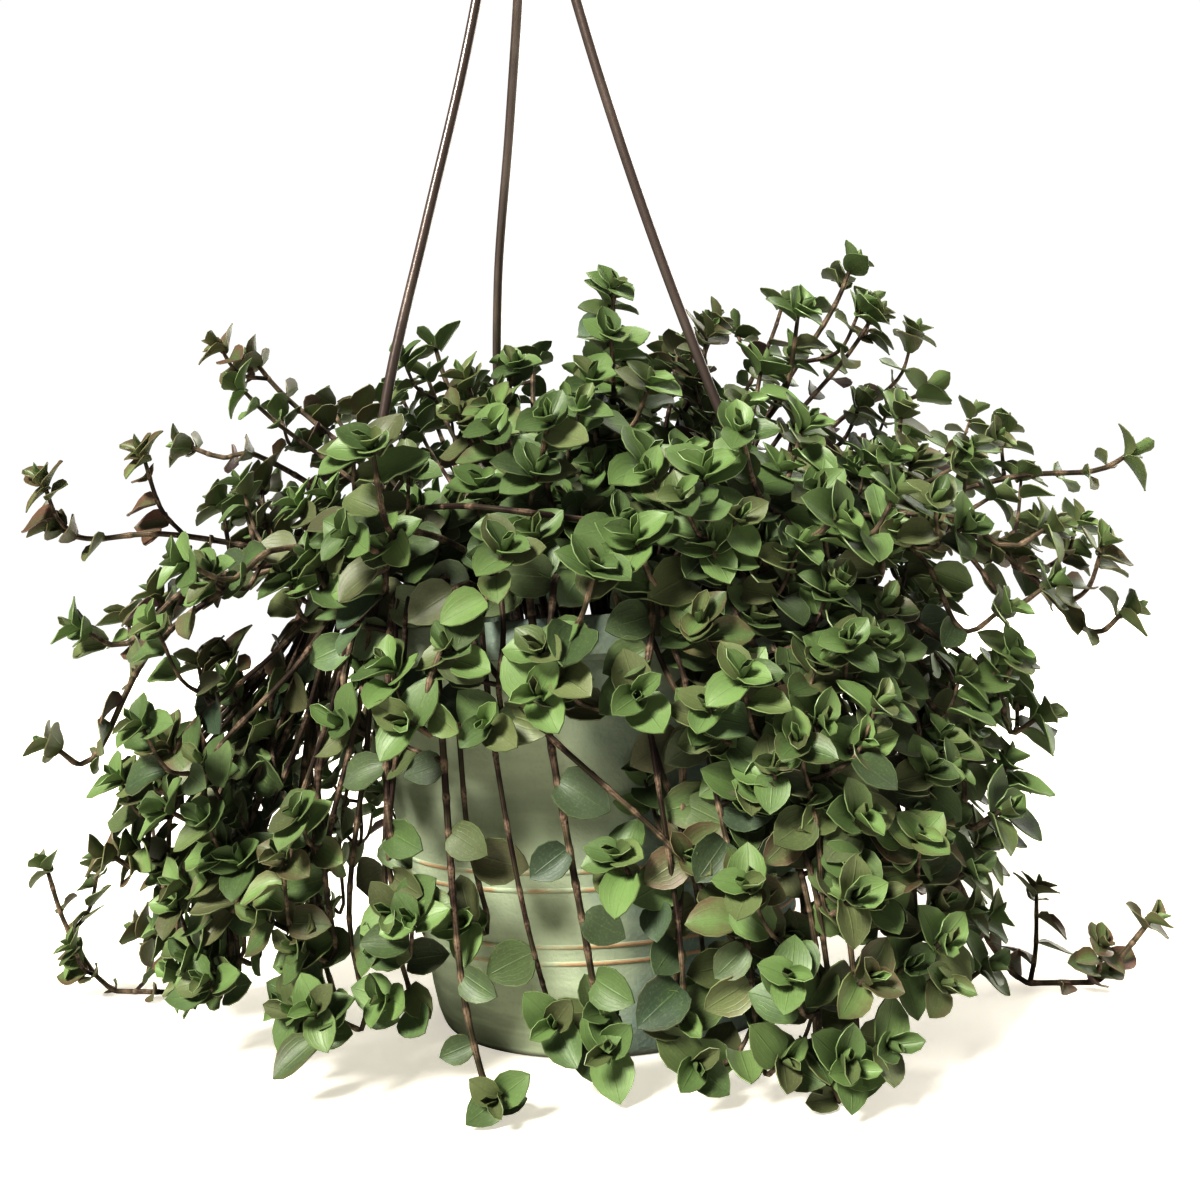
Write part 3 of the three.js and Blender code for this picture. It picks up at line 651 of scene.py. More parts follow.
class VINE_OT_pot(bpy.types.Operator):
    """Moulded pot with its rings, rim band, lugs and drain holes"""

    bl_idname = "vine.pot"
    bl_label = "Pot"

    def execute(self, context):
        sizes = context.scene.vine_pot
        pot = to_object(turned(self.outside(sizes) + self.inside(), POT_STEPS), "pot_moulded")
        for rod in RODS.values():
            combine(pot, self.lug(rod["azimuth"]), "UNION")
            place = polar(rod["azimuth"], CLIP_RADIUS, 0)
            self.bore(pot, place, LUG["hole"], LUG["bottom"] - 2, LUG["top"] + 1)
        for order in range(DRAIN_HOLES):
            place = polar(360 * (order + 0.5) / DRAIN_HOLES, DRAIN_CIRCLE, 0)
            self.bore(pot, place, DRAIN_RADIUS, -1, FLOOR + 1)
        pot.data.materials.clear()
        pot.data.materials.append(wall_material(sizes))
        pot.data.set_sharp_from_angle(angle=CRISP_POT)
        as_piece(pot, "pot", "pot")
        return {"FINISHED"}

    def outside(self, sizes):
        """The section of the outside, from the middle of the underside to the rim."""
        step = POT_HEIGHT - STEP_BELOW_RIM
        band = POT_HEIGHT - BAND_HEIGHT
        foot = [
            (0, 0.5), (50.2, 0.5), (50.9, 0), (BASE_RADIUS - 1.2, 0), (BASE_RADIUS - 0.3, 0.35),
            (BASE_RADIUS + 0.2, 1.4), (body_radius(5) + 0.5, 5), (body_radius(12) + 0.5, 12),
            (body_radius(20), 20),
        ]
        rings = []
        for height in reversed(RINGS):
            rings += ring_profile(height, sizes.ring_proud / MM, sizes.ring_width / MM)
        wall = [
            (body_radius(76), 76), (body_radius(step), step - 0.4),
            (body_radius(step) + STEP_PROUD, step + 0.4), (body_radius(band) + STEP_PROUD, band),
        ]
        rim = [
            (RIM_RADIUS - 0.5, band + 1.6), (RIM_RADIUS, band + 3.4), (RIM_RADIUS, POT_HEIGHT - 1),
            (RIM_RADIUS - 0.3, POT_HEIGHT - 0.3), (RIM_RADIUS - 1, POT_HEIGHT),
        ]
        return foot + rings + wall + rim

    def inside(self):
        """The section of the inside, from the rim to the middle of the floor."""
        lip = body_radius(POT_HEIGHT) - WALL
        return [
            (lip + 0.8, POT_HEIGHT), (lip, POT_HEIGHT - 1), (body_radius(FLOOR) - WALL, FLOOR), (0, FLOOR),
        ]

    def bore(self, pot, place, radius, low, high):
        """Cuts a round hole between two heights."""
        hole = turned([(0, low), (radius, low), (radius, high), (0, high)], SMALL_STEPS)
        combine(pot, to_object(moved(hole, place), "hole"), "DIFFERENCE")

    def lug(self, azimuth):
        """A rounded block inside the rim for one rod."""
        shape = bmesh.new()
        size = (LUG["outer"] - LUG["inner"], LUG["width"], LUG["top"] - LUG["bottom"])
        centre = ((LUG["outer"] + LUG["inner"]) / 2, 0, (LUG["top"] + LUG["bottom"]) / 2)
        place = Matrix.Rotation(math.radians(azimuth), 4, "Z") @ Matrix.Translation(Vector(centre) * MM)
        bmesh.ops.create_cube(shape, size=1, matrix=place @ Matrix.Diagonal((*(Vector(size) * MM), 1)))
        soften(shape, 0.6)
        return to_object(shape, "lug")


class VINE_OT_soil(bpy.types.Operator):
    """Soil with crumbs and grit on top"""

    bl_idname = "vine.soil"
    bl_label = "Soil"

    def execute(self, context):
        sizes = context.scene.vine_pot
        draw = random.Random(SEED)
        edge = body_radius(SOIL_TOP) - WALL - 0.5
        pile = bmesh.new()
        pile.from_mesh(self.plug(edge))
        crumb = crumb_mesh()
        for _ in range(CRUMBS):
            reach = (edge - 3) * math.sqrt(draw.random())
            spot = Vector(polar(360 * draw.random(), reach, SOIL_TOP - 1)) * MM
            size = sizes.crumb * (0.4 + 0.8 * draw.random() ** 2)
            spin = Matrix.Rotation(math.tau * draw.random(), 4, Vector((draw.random(), draw.random(), 1)))
            gritty = draw.random() < GRIT_SHARE
            first = len(pile.verts)
            first_face = len(pile.faces)
            pile.from_mesh(crumb)
            for vert in pile.verts[first:]:
                vert.co = spot + spin @ (vert.co * size)
            for face in pile.faces[first_face:]:
                face.material_index = int(gritty)
        as_piece(to_object(pile, "soil_crumbs", soil_material(sizes), grit_material()), "soil", "soil")
        return {"FINISHED"}

    def plug(self, edge):
        """The mesh of the soil's body, with an uneven top."""
        low = body_radius(FLOOR) - WALL - 0.8
        section = [(0, FLOOR + 0.3), (low, FLOOR + 0.3), (edge - 0.3, SOIL_TOP - 4)]
        section += [(radius, SOIL_TOP - 1.2) for radius in np.linspace(edge, 0, 26)]
        shape = turned(section, SOIL_STEPS)
        for vert in shape.verts:
            if vert.co.z > (SOIL_TOP - 3) * MM:
                vert.co.z += 1.6 * MM * noise.noise(vert.co * 90) + 0.7 * MM * noise.noise(vert.co * 320)
        return mesh_from(shape, "plug")


def crumb_mesh():
    """An uneven ball, one unit across."""
    shape = bmesh.new()
    bmesh.ops.create_icosphere(shape, subdivisions=1, radius=0.5)
    for vert in shape.verts:
        vert.co *= 0.8 + 0.45 * noise.noise(vert.co * 3)
    return mesh_from(shape, "crumb")


def rod_route(rod):
    """The bow of a rod, from just above its lug to its seat in the hub."""
    centre = np.array([HUB["x"], HUB["y"], 0])
    side = polar(rod["azimuth"] + 90, 1, 0)
    skew = rod["skew"]
    most = skew**skew / (skew + 1) ** (skew + 1)
    points = []
    for share in (0, 0.12, 0.3, 0.5, 0.7, 0.88, 1):
        bulge = share * (1 - share) ** skew / most
        radius = mix(CLIP_RADIUS, HUB["circle"], share) + rod["bow"] * bulge
        point = polar(rod["azimuth"], radius, mix(LUG["top"] + 2, HUB["rod_end"], share))
        points.append(point + side * rod["sway"] * bulge + centre * share)
    return Route(points)


class VINE_OT_hanger(bpy.types.Operator):
    """Three rods, the hub and the hook"""

    bl_idname = "vine.hanger"
    bl_label = "Hanger"

    def execute(self, context):
        lacquer = rod_material(context.scene.vine_hanger)
        for name, rod in RODS.items():
            foot = polar(rod["azimuth"], CLIP_RADIUS, 0)
            low = LUG["bottom"] - 0.3
            shape = moved(self.button(low), foot)
            line = rod_route(rod).at(np.linspace(0, 1, 56))
            line = np.vstack([foot + (0, 0, low - 1), foot + (0, 0, LUG["top"]), line])
            line = np.vstack([line[0] - (0, 0, 0.05), line, line[-1] + (0, 0, 0.05)])
            radii = np.full(len(line), ROD_RADIUS)
            radii[[0, -1]] = 0
            self.wire(shape, line, radii, name, lacquer)
        self.hook(lacquer)
        return {"FINISHED"}

    def button(self, top):
        """The flat end of a rod, under its lug."""
        radius = BUTTON["radius"]
        bottom = top - BUTTON["height"]
        section = [(0, bottom), (radius - 0.8, bottom), (radius, bottom + 0.9), (radius, top - 0.4)]
        return turned(section + [(radius - 0.4, top), (0, top)], SMALL_STEPS)

    def wire(self, shape, line, radii, node, lacquer):
        """Adds a wire to a bmesh and makes it the piece of a node."""
        shape.from_mesh(mesh_from(tube(line, radii, WIRE_SIDES), "wire"))
        made = to_object(shape, f"{node}_wire", lacquer)
        made.data.set_sharp_from_angle(angle=CRISP_WIRE)
        as_piece(made, "hanger", node)

    def hook(self, lacquer):
        """The grooved hub with the hook that grows out of it."""
        radius = HUB["radius"]
        low = HUB["bottom"]
        high = HUB["top"]
        section = [
            (0, low), (radius - 1.2, low), (radius - 0.35, low + 0.35), (radius, low + 1.2),
            (radius, low + 5), (radius - 0.6, low + 5.6), (radius - 0.6, low + 7), (radius, low + 7.6),
            (radius, high - 2.5), (radius - 0.9, high - 0.9), (radius - 2.5, high), (0, high),
        ]
        middle = np.array([HUB["x"], HUB["y"], 0.0])
        points = [middle + (0, 0, high - 2), middle + (0, 0, HOOK["neck"])]
        for angle in range(195, -16, -30):
            x, y, _ = polar(angle, HOOK["radius"], 0)
            points.append(middle + (x, 0, HOOK["centre"] + y))
        route = Route(points)
        line = route.at(np.concatenate([np.linspace(0, 1, 64), [1]]))
        line[-1] += route.along([1])[0] * 0.05
        radii = np.full(len(line), float(HOOK["thickness"]))
        radii[-3:] *= (0.94, 0.6, 0)
        self.wire(moved(turned(section, HUB_STEPS), middle), line, radii, "hook", lacquer)


# Lines that stems and rods follow.
def mix(low, high, share):
    """The value at a share of the way between two."""
    return low + (high - low) * share


def polar(azimuth, radius, height):
    """A point from its azimuth in degrees, its distance from the axis and its height."""
    angle = math.radians(azimuth)
    return np.array([radius * math.cos(angle), radius * math.sin(angle), height])


def unit(vector):
    """The vector with a length of one."""
    return vector / np.linalg.norm(vector)


def square_part(vector, way):
    """What of a vector is square to a direction, with a length of one."""
    return unit(vector - way * vector.dot(way))


def clamped(value, low=0, high=1):
    """The value, or the limit that it is past."""
    return min(max(value, low), high)


def around(draw, width):
    """A value up to half the width to either side of zero."""
    return width * (draw.random() - 0.5)


class Route:
    """A smooth line through points, with places by their share of its length."""

    def __init__(self, points, lowest=-1e9):
        self.points = np.array(points, float)
        before = 2 * self.points[0] - self.points[1]
        after = 2 * self.points[-1] - self.points[-2]
        self.padded = np.vstack([before, self.points, after])
        self.lowest = lowest
        self.marks = np.linspace(0, 1, 201)
        gaps = np.linalg.norm(np.diff(self.raw(self.marks), axis=0), axis=1)
        self.lengths = np.concatenate([[0], np.cumsum(gaps)])
        self.length = self.lengths[-1]

    def raw(self, shares):
        """Places by marks from 0 to 1, in which each span between two points counts the same."""
        place = np.clip(shares, 0, 1) * (len(self.points) - 1)
        span = np.minimum(place.astype(int), len(self.points) - 2)
        part = (place - span)[:, None]
        p0, p1, p2, p3 = (self.padded[span + step] for step in range(4))
        t0 = (p2 - p0) / 2
        t1 = (p3 - p1) / 2
        found = p1 + t0 * part + (3 * (p2 - p1) - 2 * t0 - t1) * part**2 + (2 * (p1 - p2) + t0 + t1) * part**3
        found[:, 2] = np.maximum(found[:, 2], self.lowest)
        return found

    def marks_at(self, shares):
        """The marks that go with shares of the length."""
        return np.interp(np.asarray(shares, float) * self.length, self.lengths, self.marks)

    def at(self, shares):
        """Places at shares of the length."""
        return self.raw(self.marks_at(shares))

    def along(self, shares):
        """The line's direction at shares of the length."""
        marks = self.marks_at(shares)
        ways = self.raw(marks + 1e-4) - self.raw(marks - 1e-4)
        return ways / np.linalg.norm(ways, axis=1)[:, None]


# The rules below give the points of a stem's line. Each is a reach from the pot's axis, a height, the
# share of the way from the root's azimuth to the tip's, and the share of the sideways sway.
def soil_rows(root):
    """From the root up through the soil."""
    return [(root, SOIL_TOP - ROOT_DEPTH, 0, 0), (root, SOIL_TOP + 3, 0, 0)]


def rim_rows(root):
    """From the root over the rim."""
    return soil_rows(root) + [
        (root + 4, SOIL_TOP + 17, 0.05, 0),
        (RIM_RADIUS + 4, POT_HEIGHT + 10, 0.15, 0.4),
    ]


def crown_rows(reach, tip, order):
    """Upright, with the tip leaning outwards."""
    root = 8 + 0.3 * min(reach, 100) + 3 * (order % 2)
    rise = tip - SOIL_TOP
    return soil_rows(root) + [
        (mix(root, reach, 0.1), SOIL_TOP + 0.28 * rise, 0.1, 0.5),
        (mix(root, reach, 0.42), SOIL_TOP + 0.6 * rise, 0.45, 1),
        (mix(root, reach, 0.84), SOIL_TOP + 0.87 * rise, 0.85, 0.5),
        (reach, tip, 1, 0),
    ]


def arch_rows(reach, tip, order):
    """Up and outwards past the rim, in a bow."""
    root = 42 + 8 * (order % 2)
    start = SOIL_TOP + 26
    peak = max(tip - 10, SOIL_TOP + 38)
    return soil_rows(root) + [
        (root + 6, start, 0.05, 0.4),
        (mix(root, reach, 0.36), mix(start, peak, 0.65), 0.3, 1),
        (mix(root, reach, 0.7), mix(peak, tip, 0.45), 0.65, 0.8),
        (reach - 12, tip - 5, 0.9, 0.3),
        (reach, tip, 1, 0),
    ]


def spill_rows(reach, tip, order):
    """Over the rim and down beside the pot."""
    edge = RIM_RADIUS + 6
    drop = POT_HEIGHT + 8
    return rim_rows(56 + 8 * (order % 2)) + [
        (mix(edge, reach, 0.35), mix(drop, tip, 0.34), 0.4, 1),
        (mix(edge, reach, 0.75), mix(drop, tip, 0.74), 0.75, 0.8),
        (reach - 9, tip - 4, 0.93, 0.3),
        (reach, tip, 1, 0),
    ]


def runner_rows(reach, tip, order):
    """Over the rim, down to the table and along it."""
    edge = RIM_RADIUS
    return rim_rows(60 + 4 * (order % 2)) + [
        (mix(edge, reach, 0.1) + 7, 0.68 * POT_HEIGHT, 0.3, 0.7),
        (mix(edge, reach, 0.28) + 7, 0.27 * POT_HEIGHT, 0.5, 1),
        (mix(edge, reach, 0.55), TABLE_CLEARANCE + 1.5, 0.7, 0.6),
        (mix(edge, reach, 0.8), TABLE_CLEARANCE + 0.3, 0.86, 0.3),
        (reach - 8, TABLE_CLEARANCE + 0.45 * tip, 0.97, 0),
        (reach, tip, 1, 0),
    ]


def stem_route(stem, rows, sway):
    """The line of a stem, from the points that its family's rule gives."""
    root, tip = stem[:2]
    points = []
    for radius, height, turn, bend in rows:
        azimuth = mix(root, tip, turn)
        points.append(polar(azimuth, radius, height) + polar(azimuth + 90, 1, 0) * sway * bend)
    return Route(points, TABLE_CLEARANCE)


# A family of stems: its rule, the share that is bare, how strongly it grows, the solid part's side
# shoots, how many side shoots a stem has besides, how many of the places between its nodes bear a
# leaf, how many slimmer stems go with each, and a leaf's length as a share of the solid part's leaf.
FAMILIES = (
    {
        "name": "crown_shoot", "stems": CROWN, "rows": crown_rows, "bare": 0.3, "vigour": 1,
        "shoots": (0, 2), "extra": 0.45, "fill": 0.55, "mates": 2, "leaf": 0.86,
    },
    {
        "name": "arching_stem", "stems": ARCH, "rows": arch_rows, "bare": 0.28, "vigour": 1,
        "shoots": (0, 2), "extra": 0.38, "fill": 0.45, "mates": 1, "leaf": 0.88,
    },
    {
        "name": "spilling_stem", "stems": SPILL, "rows": spill_rows, "bare": 0.3, "vigour": 1,
        "shoots": (0,), "extra": 0.35, "fill": 0.4, "mates": 0, "leaf": 0.94,
    },
    {
        "name": "running_stem", "stems": RUNNER, "rows": runner_rows, "bare": 0.3, "vigour": 0.85,
        "shoots": (1,), "extra": 0.25, "fill": 0.4, "mates": 0, "leaf": 0.9,
    },
)


class Draw:
    """The part's own repeatable draws between 0 and 1."""

    def __init__(self, seed):
        self.state = seed

    def __call__(self):
        self.state = (self.state * 1664525 + 1013904223) % 4294967296
        return self.state / 4294967296

    def jitter(self):
        """A small step in any direction."""
        return np.array([self() - 0.5, self() - 0.5, self() - 0.5])


def clear_of(samples, taken):
    """Whether a line keeps the stems' least distance from all others."""
    for other in taken:
        apart = samples[:, None, :] - other[None, :, :]
        if (apart**2).sum(axis=2).min() <= STEM_SPACING**2:
            return False
    return True


def routed_stems():
    """Every stem of the part with its line: the first sideways sway that keeps it clear is taken."""
    taken = [rod_route(rod).at(np.linspace(0, 1, 91)) for rod in RODS.values()]
    draw = Draw(SEED)
    routed = []
    for family in FAMILIES:
        for order, stem in enumerate(family["stems"]):
            lean = 6 * (draw() - 0.5)
            rows = family["rows"](stem[2], stem[3], order)
            for sway in SWAYS:
                route = stem_route(stem, rows, lean + sway)
                samples = route.at(np.linspace(0, 1, math.floor(route.length / 3 + 0.5) + 1))
                if clear_of(samples, taken):
                    break
            taken.append(samples)
            routed.append((f"{family['name']}_{order + 1}", family, order, route))
    return routed


# The stems whose leaves have turned in the sun.
TURNED = {
    "crown_shoot_4": 0.65, "crown_shoot_5": 0.6, "crown_shoot_6": 0.5, "arching_stem_1": 0.65,
    "arching_stem_2": 0.6, "arching_stem_4": 0.55, "arching_stem_5": 0.45, "arching_stem_6": 0.5,
    "arching_stem_7": 0.55, "arching_stem_8": 0.5, "arching_stem_11": 0.6, "spilling_stem_17": 0.55,
    "spilling_stem_18": 0.65, "spilling_stem_21": 0.6, "running_stem_1": 0.45, "running_stem_2": 0.65,
}

# Leaves. One unit long, along X, with the upper face towards +Z.
LEAF_HALF_WIDTH = 0.43
WIDEST = 0.38
FULL_ROLL = 2.95
LEAF_LAYERS = ("age", "blush", "tone", "under", "sheath")
# For each kind: rows and columns of its grid, and its forms. A form is how strongly the leaf curls
# across itself at its base and at its tip, how steeply it starts and how it bends.
LEAF_FORMS = {
    "flat": (7, 2, (
        (2.2, 0.7, 0.3, -0.5), (1.8, 0.4, 0.2, -0.15), (2.4, 0.9, 0.3, -0.8), (1.7, 0.5, 0.05, 0.3),
    )),
    "cupped": (6, 4, ((3.0, 1.4, 0.4, -0.6), (2.6, 1.8, 0.3, -0.2), (3.4, 1.2, 0.5, -0.9))),
    "young": (6, 4, ((4.4, 2.0, 0.4, -0.35), (4.8, 1.7, 0.35, -0.55))),
    "clasping": (5, 4, ((5.4, 4.2, 0.1, -0.1), (5.8, 3.6, 0.15, -0.3))),
    "rolled": (5, 6, ((7.0, 6.9, 0.0, 0.1), (7.4, 7.2, 0.05, 0.0))),
}


def half_width(share):
    """Half of a leaf's width at a share of its length."""
    if share < WIDEST:
        rise = (share + 0.012) / (WIDEST + 0.012)
        return LEAF_HALF_WIDTH * (1 - (1 - rise) ** 2.3) ** 0.5
    return LEAF_HALF_WIDTH * (1 - ((share - WIDEST) / (1 - WIDEST)) ** 2.15)


def row_share(step):
    """Rows stand closer at the leaf's base and tip, where its outline turns."""
    return 0.5 * step**1.35 + 0.25 * (1 - math.cos(math.pi * step))


def bent_line(tilt):
    """Along and up, for a line one unit long whose tilt changes evenly."""
    line = []
    for way in (np.cos(tilt), np.sin(tilt)):
        line.append(np.concatenate([[0], np.cumsum((way[1:] + way[:-1]) / 2)]) / (len(tilt) - 1))
    return line


def leaf_mesh(name, grid, form, thickness, wave):
    """One leaf from a grid: curled across itself, bent along its length and given its thickness."""
    rows, columns = grid
    base_curl, tip_curl, lift, bend = form
    shape = bmesh.new()
    shape.loops.layers.uv.new("UVMap")
    layers = {key: shape.verts.layers.float.new(key) for key in LEAF_LAYERS}
    bmesh.ops.create_grid(shape, x_segments=rows, y_segments=columns, size=0.5, calc_uvs=True)
    fine = np.linspace(0, 1, 41)
    middle_x, middle_z = bent_line(lift + bend * fine)
    for vert in shape.verts:
        share = row_share(min(vert.co.x + 0.5, 1))
        side = 2 * vert.co.y
        eased = min(share / 0.55, 1)
        curl = mix(base_curl, tip_curl, eased * eased * (3 - 2 * eased))
        width = half_width(share)
        roll = side * min(width * curl, FULL_ROLL)
        across = math.sin(roll) / curl
        ripple = 0.014 * math.sin(7 * share + wave + 2 * side) * abs(side)
        crease = 0.022 * (abs(side) - 1) * math.sin(math.pi * share)
        rise = (1 - math.cos(roll)) / curl + ripple + crease
        angle = lift + bend * share
        x = np.interp(share, fine, middle_x) - rise * math.sin(angle)
        z = np.interp(share, fine, middle_z) + rise * math.cos(angle)
        vert.co = (x, across, z)
    bmesh.ops.remove_doubles(shape, verts=shape.verts, dist=1e-5)
    upper = len(shape.verts)
    skin = shape.faces[:]
    bmesh.ops.solidify(shape, geom=skin, thickness=thickness)
    shape.verts.ensure_lookup_table()
    shape.normal_update()
    facing = sum(face.normal.z for face in skin)
    lower = shape.verts[upper:] if facing > 0 else shape.verts[:upper]
    for vert in lower:
        vert[layers["under"]] = 1
    for edge in shape.edges:
        if edge.calc_face_angle(0) > CRISP_LEAF:
            edge.smooth = False
    return mesh_from(shape, name)


def leaf_meshes(thickness):
    """The meshes of each kind of leaf, each with its corners."""
    usual_length = 12 * MM
    leaves = {}
    for kind, (rows, columns, forms) in LEAF_FORMS.items():
        leaves[kind] = []
        for place, form in enumerate(forms):
            mesh = leaf_mesh(f"{kind}_{place}", (rows, columns), form, thickness / usual_length, 2.1 * place)
            leaves[kind].append((mesh, np.array([vert.co for vert in mesh.vertices])))
    return leaves


class Growth:
    """One leafy piece in the making."""

    def __init__(self, leaves, scale):
        self.leaves = leaves
        self.scale = scale
        self.shape = bmesh.new()
        self.shape.loops.layers.uv.new("UVMap")
        for name in LEAF_LAYERS:
            self.shape.verts.layers.float.new(name)

    def take(self, mesh, material):
        """Adds a part and gives back its new vertices."""
        first = len(self.shape.verts)
        first_face = len(self.shape.faces)
        self.shape.from_mesh(mesh)
        for face in self.shape.faces[first_face:]:
            face.material_index = material
        return self.shape.verts[first:]

    def leaf(self, kind, draw, base, direction, normal, length, age, blush):
        """A leaf at base, in millimetres."""
        mesh, corners = draw.choice(self.leaves[kind])
        direction = unit(direction)
        normal = square_part(normal, direction)
        across = np.cross(normal, direction)
        turn = np.column_stack([direction, across, normal]) * length
        placed = settled(corners @ turn.T + base, base) * MM
        values = {"age": age, "blush": blush, "tone": draw.random()}
        layers = [(self.shape.verts.layers.float[key], value) for key, value in values.items()]
        for vert, place in zip(self.take(mesh, 1), placed):
            vert.co = place
            for layer, value in layers:
                vert[layer] = value

    def stem(self, route, radius, nodes, start, age):
        """A stem with a swelling and a pale sheath at each node. Nodes are in millimetres along it.

        Each row is a share of the length, how far the stem swells there and how much of it the sheath hides.
        """
        length = route.length
        rows = [(0.0, 0.98, 0.0), (1.0, 0.8, 0.0)]
        for distance in nodes:
            for step, swell, sheath in ((-1.2, 0.95, 0.1), (0.2, 1.12, 0.9), (2.6, 0.97, 0.6)):
                rows.append((clamped((distance + step) / length, 0.001, 0.999), swell, sheath))
        rows += [(mark, 0.93, 0.0) for mark in np.arange(4, length - 3, 8) / length]
        rows = np.array(sorted(rows))
        rows = rows[np.concatenate([[True], np.diff(rows[:, 0]) * length > 0.5])]
        marks, swell, sheath = rows.T
        points = route.at(marks)
        base = points[0] - route.along([0])[0] * 0.02
        tip = points[-1] + route.along([1])[0] * 0.3
        points = np.vstack([base, points, tip])
        radii = np.concatenate([[0], radius * swell * (1 - 0.25 * marks), [0]])
        ages = np.concatenate([[start], mix(start, age, marks), [age]])
        values = {"age": ages, "sheath": np.concatenate([[0], sheath, [0]])}
        self.take(mesh_from(tube(points, radii, STEM_SIDES, values), "stem"), 0)


def settled(points, base):
    """Leaves lie on the table and bend away from the pot's wall."""
    soft = 2.0
    low = points[:, 2] < soft
    points[low, 2] = soft * np.exp((points[low, 2] - soft) / soft)
    outside = math.hypot(base[0], base[1]) > body_radius(clamped(base[2], 0, POT_HEIGHT))
    if outside and base[2] < POT_HEIGHT + 8:
        reach = np.hypot(points[:, 0], points[:, 1])
        wall = mix(BASE_RADIUS, RIM_RADIUS + 1, np.clip(points[:, 2], 0, POT_HEIGHT) / POT_HEIGHT) + 0.4
        near = (reach < wall + soft) & (points[:, 2] < POT_HEIGHT)
        pushed = wall[near] + soft * np.exp((reach[near] - wall[near] - soft) / soft)
        points[near, :2] *= (pushed / reach[near])[:, None]
    return points


UP = np.array([0.0, 0.0, 1.0])
# How far leaves turn towards the light.
TO_LIGHT = np.array([-0.1, -0.4, 0.0])


def node_at(route, share, rank, draw):
    """Where a node is, and the side that its leaf or shoot leaves, as in the part."""
    base = route.at([share])[0]
    along = route.along([share])[0]
    outward = unit(np.array([base[0], base[1], 0]))
    side = np.cross(along, UP)
    if np.linalg.norm(side) < 0.2:
        side = np.cross(outward, UP)
    side = unit(side)
    over = np.cross(side, along)
    roll = 1.1 * (draw() - 0.5)
    side = side * rank * math.cos(roll) + over * math.sin(roll)
    return {"share": share, "base": base, "along": along, "outward": outward, "side": side}


def leaf_ways(node, draw):
    """A leaf's direction and upper face: the part's, turned a little to the light."""
    normal = 0.6 * draw.jitter() + 0.45 * node["along"] + 0.62 * UP + 0.6 * node["outward"] + TO_LIGHT
    normal = unit(normal)
    direction = node["side"] + 0.5 * node["along"]
    return square_part(direction, normal), normal


def shoot_route(node, reach):
    """The line of a side shoot, which turns upwards."""
    start = unit(node["side"] + 0.35 * UP + 0.35 * node["outward"])
    middle = node["base"] + 0.5 * reach * start
    tip = middle + 0.3 * reach * start + 0.4 * reach * UP
    return Route([node["base"], middle, tip], TABLE_CLEARANCE)


def plan_shoot(route, steps, bare, vigour, shoots, corners, draw):
    """The nodes, leaves and side shoots that the solid part has, from the same draws."""
    first = clamped(math.ceil(bare * steps), 1, steps - 1)
    nodes = []
    for order in range(1, steps):
        node = node_at(route, order / steps, 1 if order % 2 else -1, draw)
        node["ways"] = leaf_ways(node, draw)
        age = (order - first) / (steps - first)
        node["length"] = LEAF_LENGTH * vigour * (1.05 - 0.25 * age) * (0.88 + 0.24 * draw())
        if order - first in shoots:
            reach = mix(*SHOOT_LENGTH, draw())
            side = shoot_route(node, reach)
            node["shoot"] = plan_shoot(side, 2, 0, vigour, (), 4, draw)
        node["bears"] = order >= first
        nodes.append(node)
    along = route.along([1])[0]
    return {
        "route": route, "steps": steps, "bare": bare, "vigour": vigour, "nodes": nodes,
        "corners": corners, "rosette": unit(np.cross(draw.jitter(), along)),
    }


def kind_for(age, draw):
    """Young leaves are rolled further than old ones."""
    if age < 0.22:
        return "young" if draw.random() < 0.5 else "cupped"
    return "cupped" if draw.random() < 0.45 else "flat"


def grow_rosette(growth, plan, length, draw, age, blush):
    """A shoot's tip: spread leaves round two that clasp a rolled one."""
    route = plan["route"]
    tip = route.at([1])[0]
    outward = unit(tip * (1, 1, 0))
    along = unit(route.along([1])[0] + 0.7 * outward + 0.25 * UP + 0.8 * TO_LIGHT)
    first = square_part(plan["rosette"], along)
    round_way = np.cross(along, first)

    def spread(turn, pitch):
        """A leaf's direction and upper face, by its turn round the tip and its pitch."""
        side = first * math.cos(turn) + round_way * math.sin(turn)
        normal = along * math.cos(pitch) - side * math.sin(pitch)
        return side * math.cos(pitch) + along * math.sin(pitch), normal

    outer = plan["corners"] - 1
    for order in range(outer):
        turn = math.tau * order * (0.5 if outer == 2 else 0.36) + around(draw, 0.4)
        pitch = 0.1 + 0.14 * order + around(draw, 0.25)
        size = length * (1.12 - 0.06 * order) * (0.92 + 0.16 * draw.random())
        kind = "flat" if draw.random() < 0.4 else "cupped"
        base = tip + along * (order - 3)
        growth.leaf(kind, draw, base, *spread(turn, pitch), size, age + 0.06, blush)
    middle = 1.6 + 0.5 * draw.random()
    growth.leaf("young", draw, tip - along, *spread(middle, 0.45), 0.92 * length, age, blush)
    growth.leaf("clasping", draw, tip, *spread(middle + 2.9, 0.8), 0.78 * length, age * 0.8, blush)
    core = spread(middle + 0.6, 1.25)
    growth.leaf("rolled", draw, tip - core[1] * 0.07 * length, *core, 0.62 * length, age * 0.5, blush * 0.5)


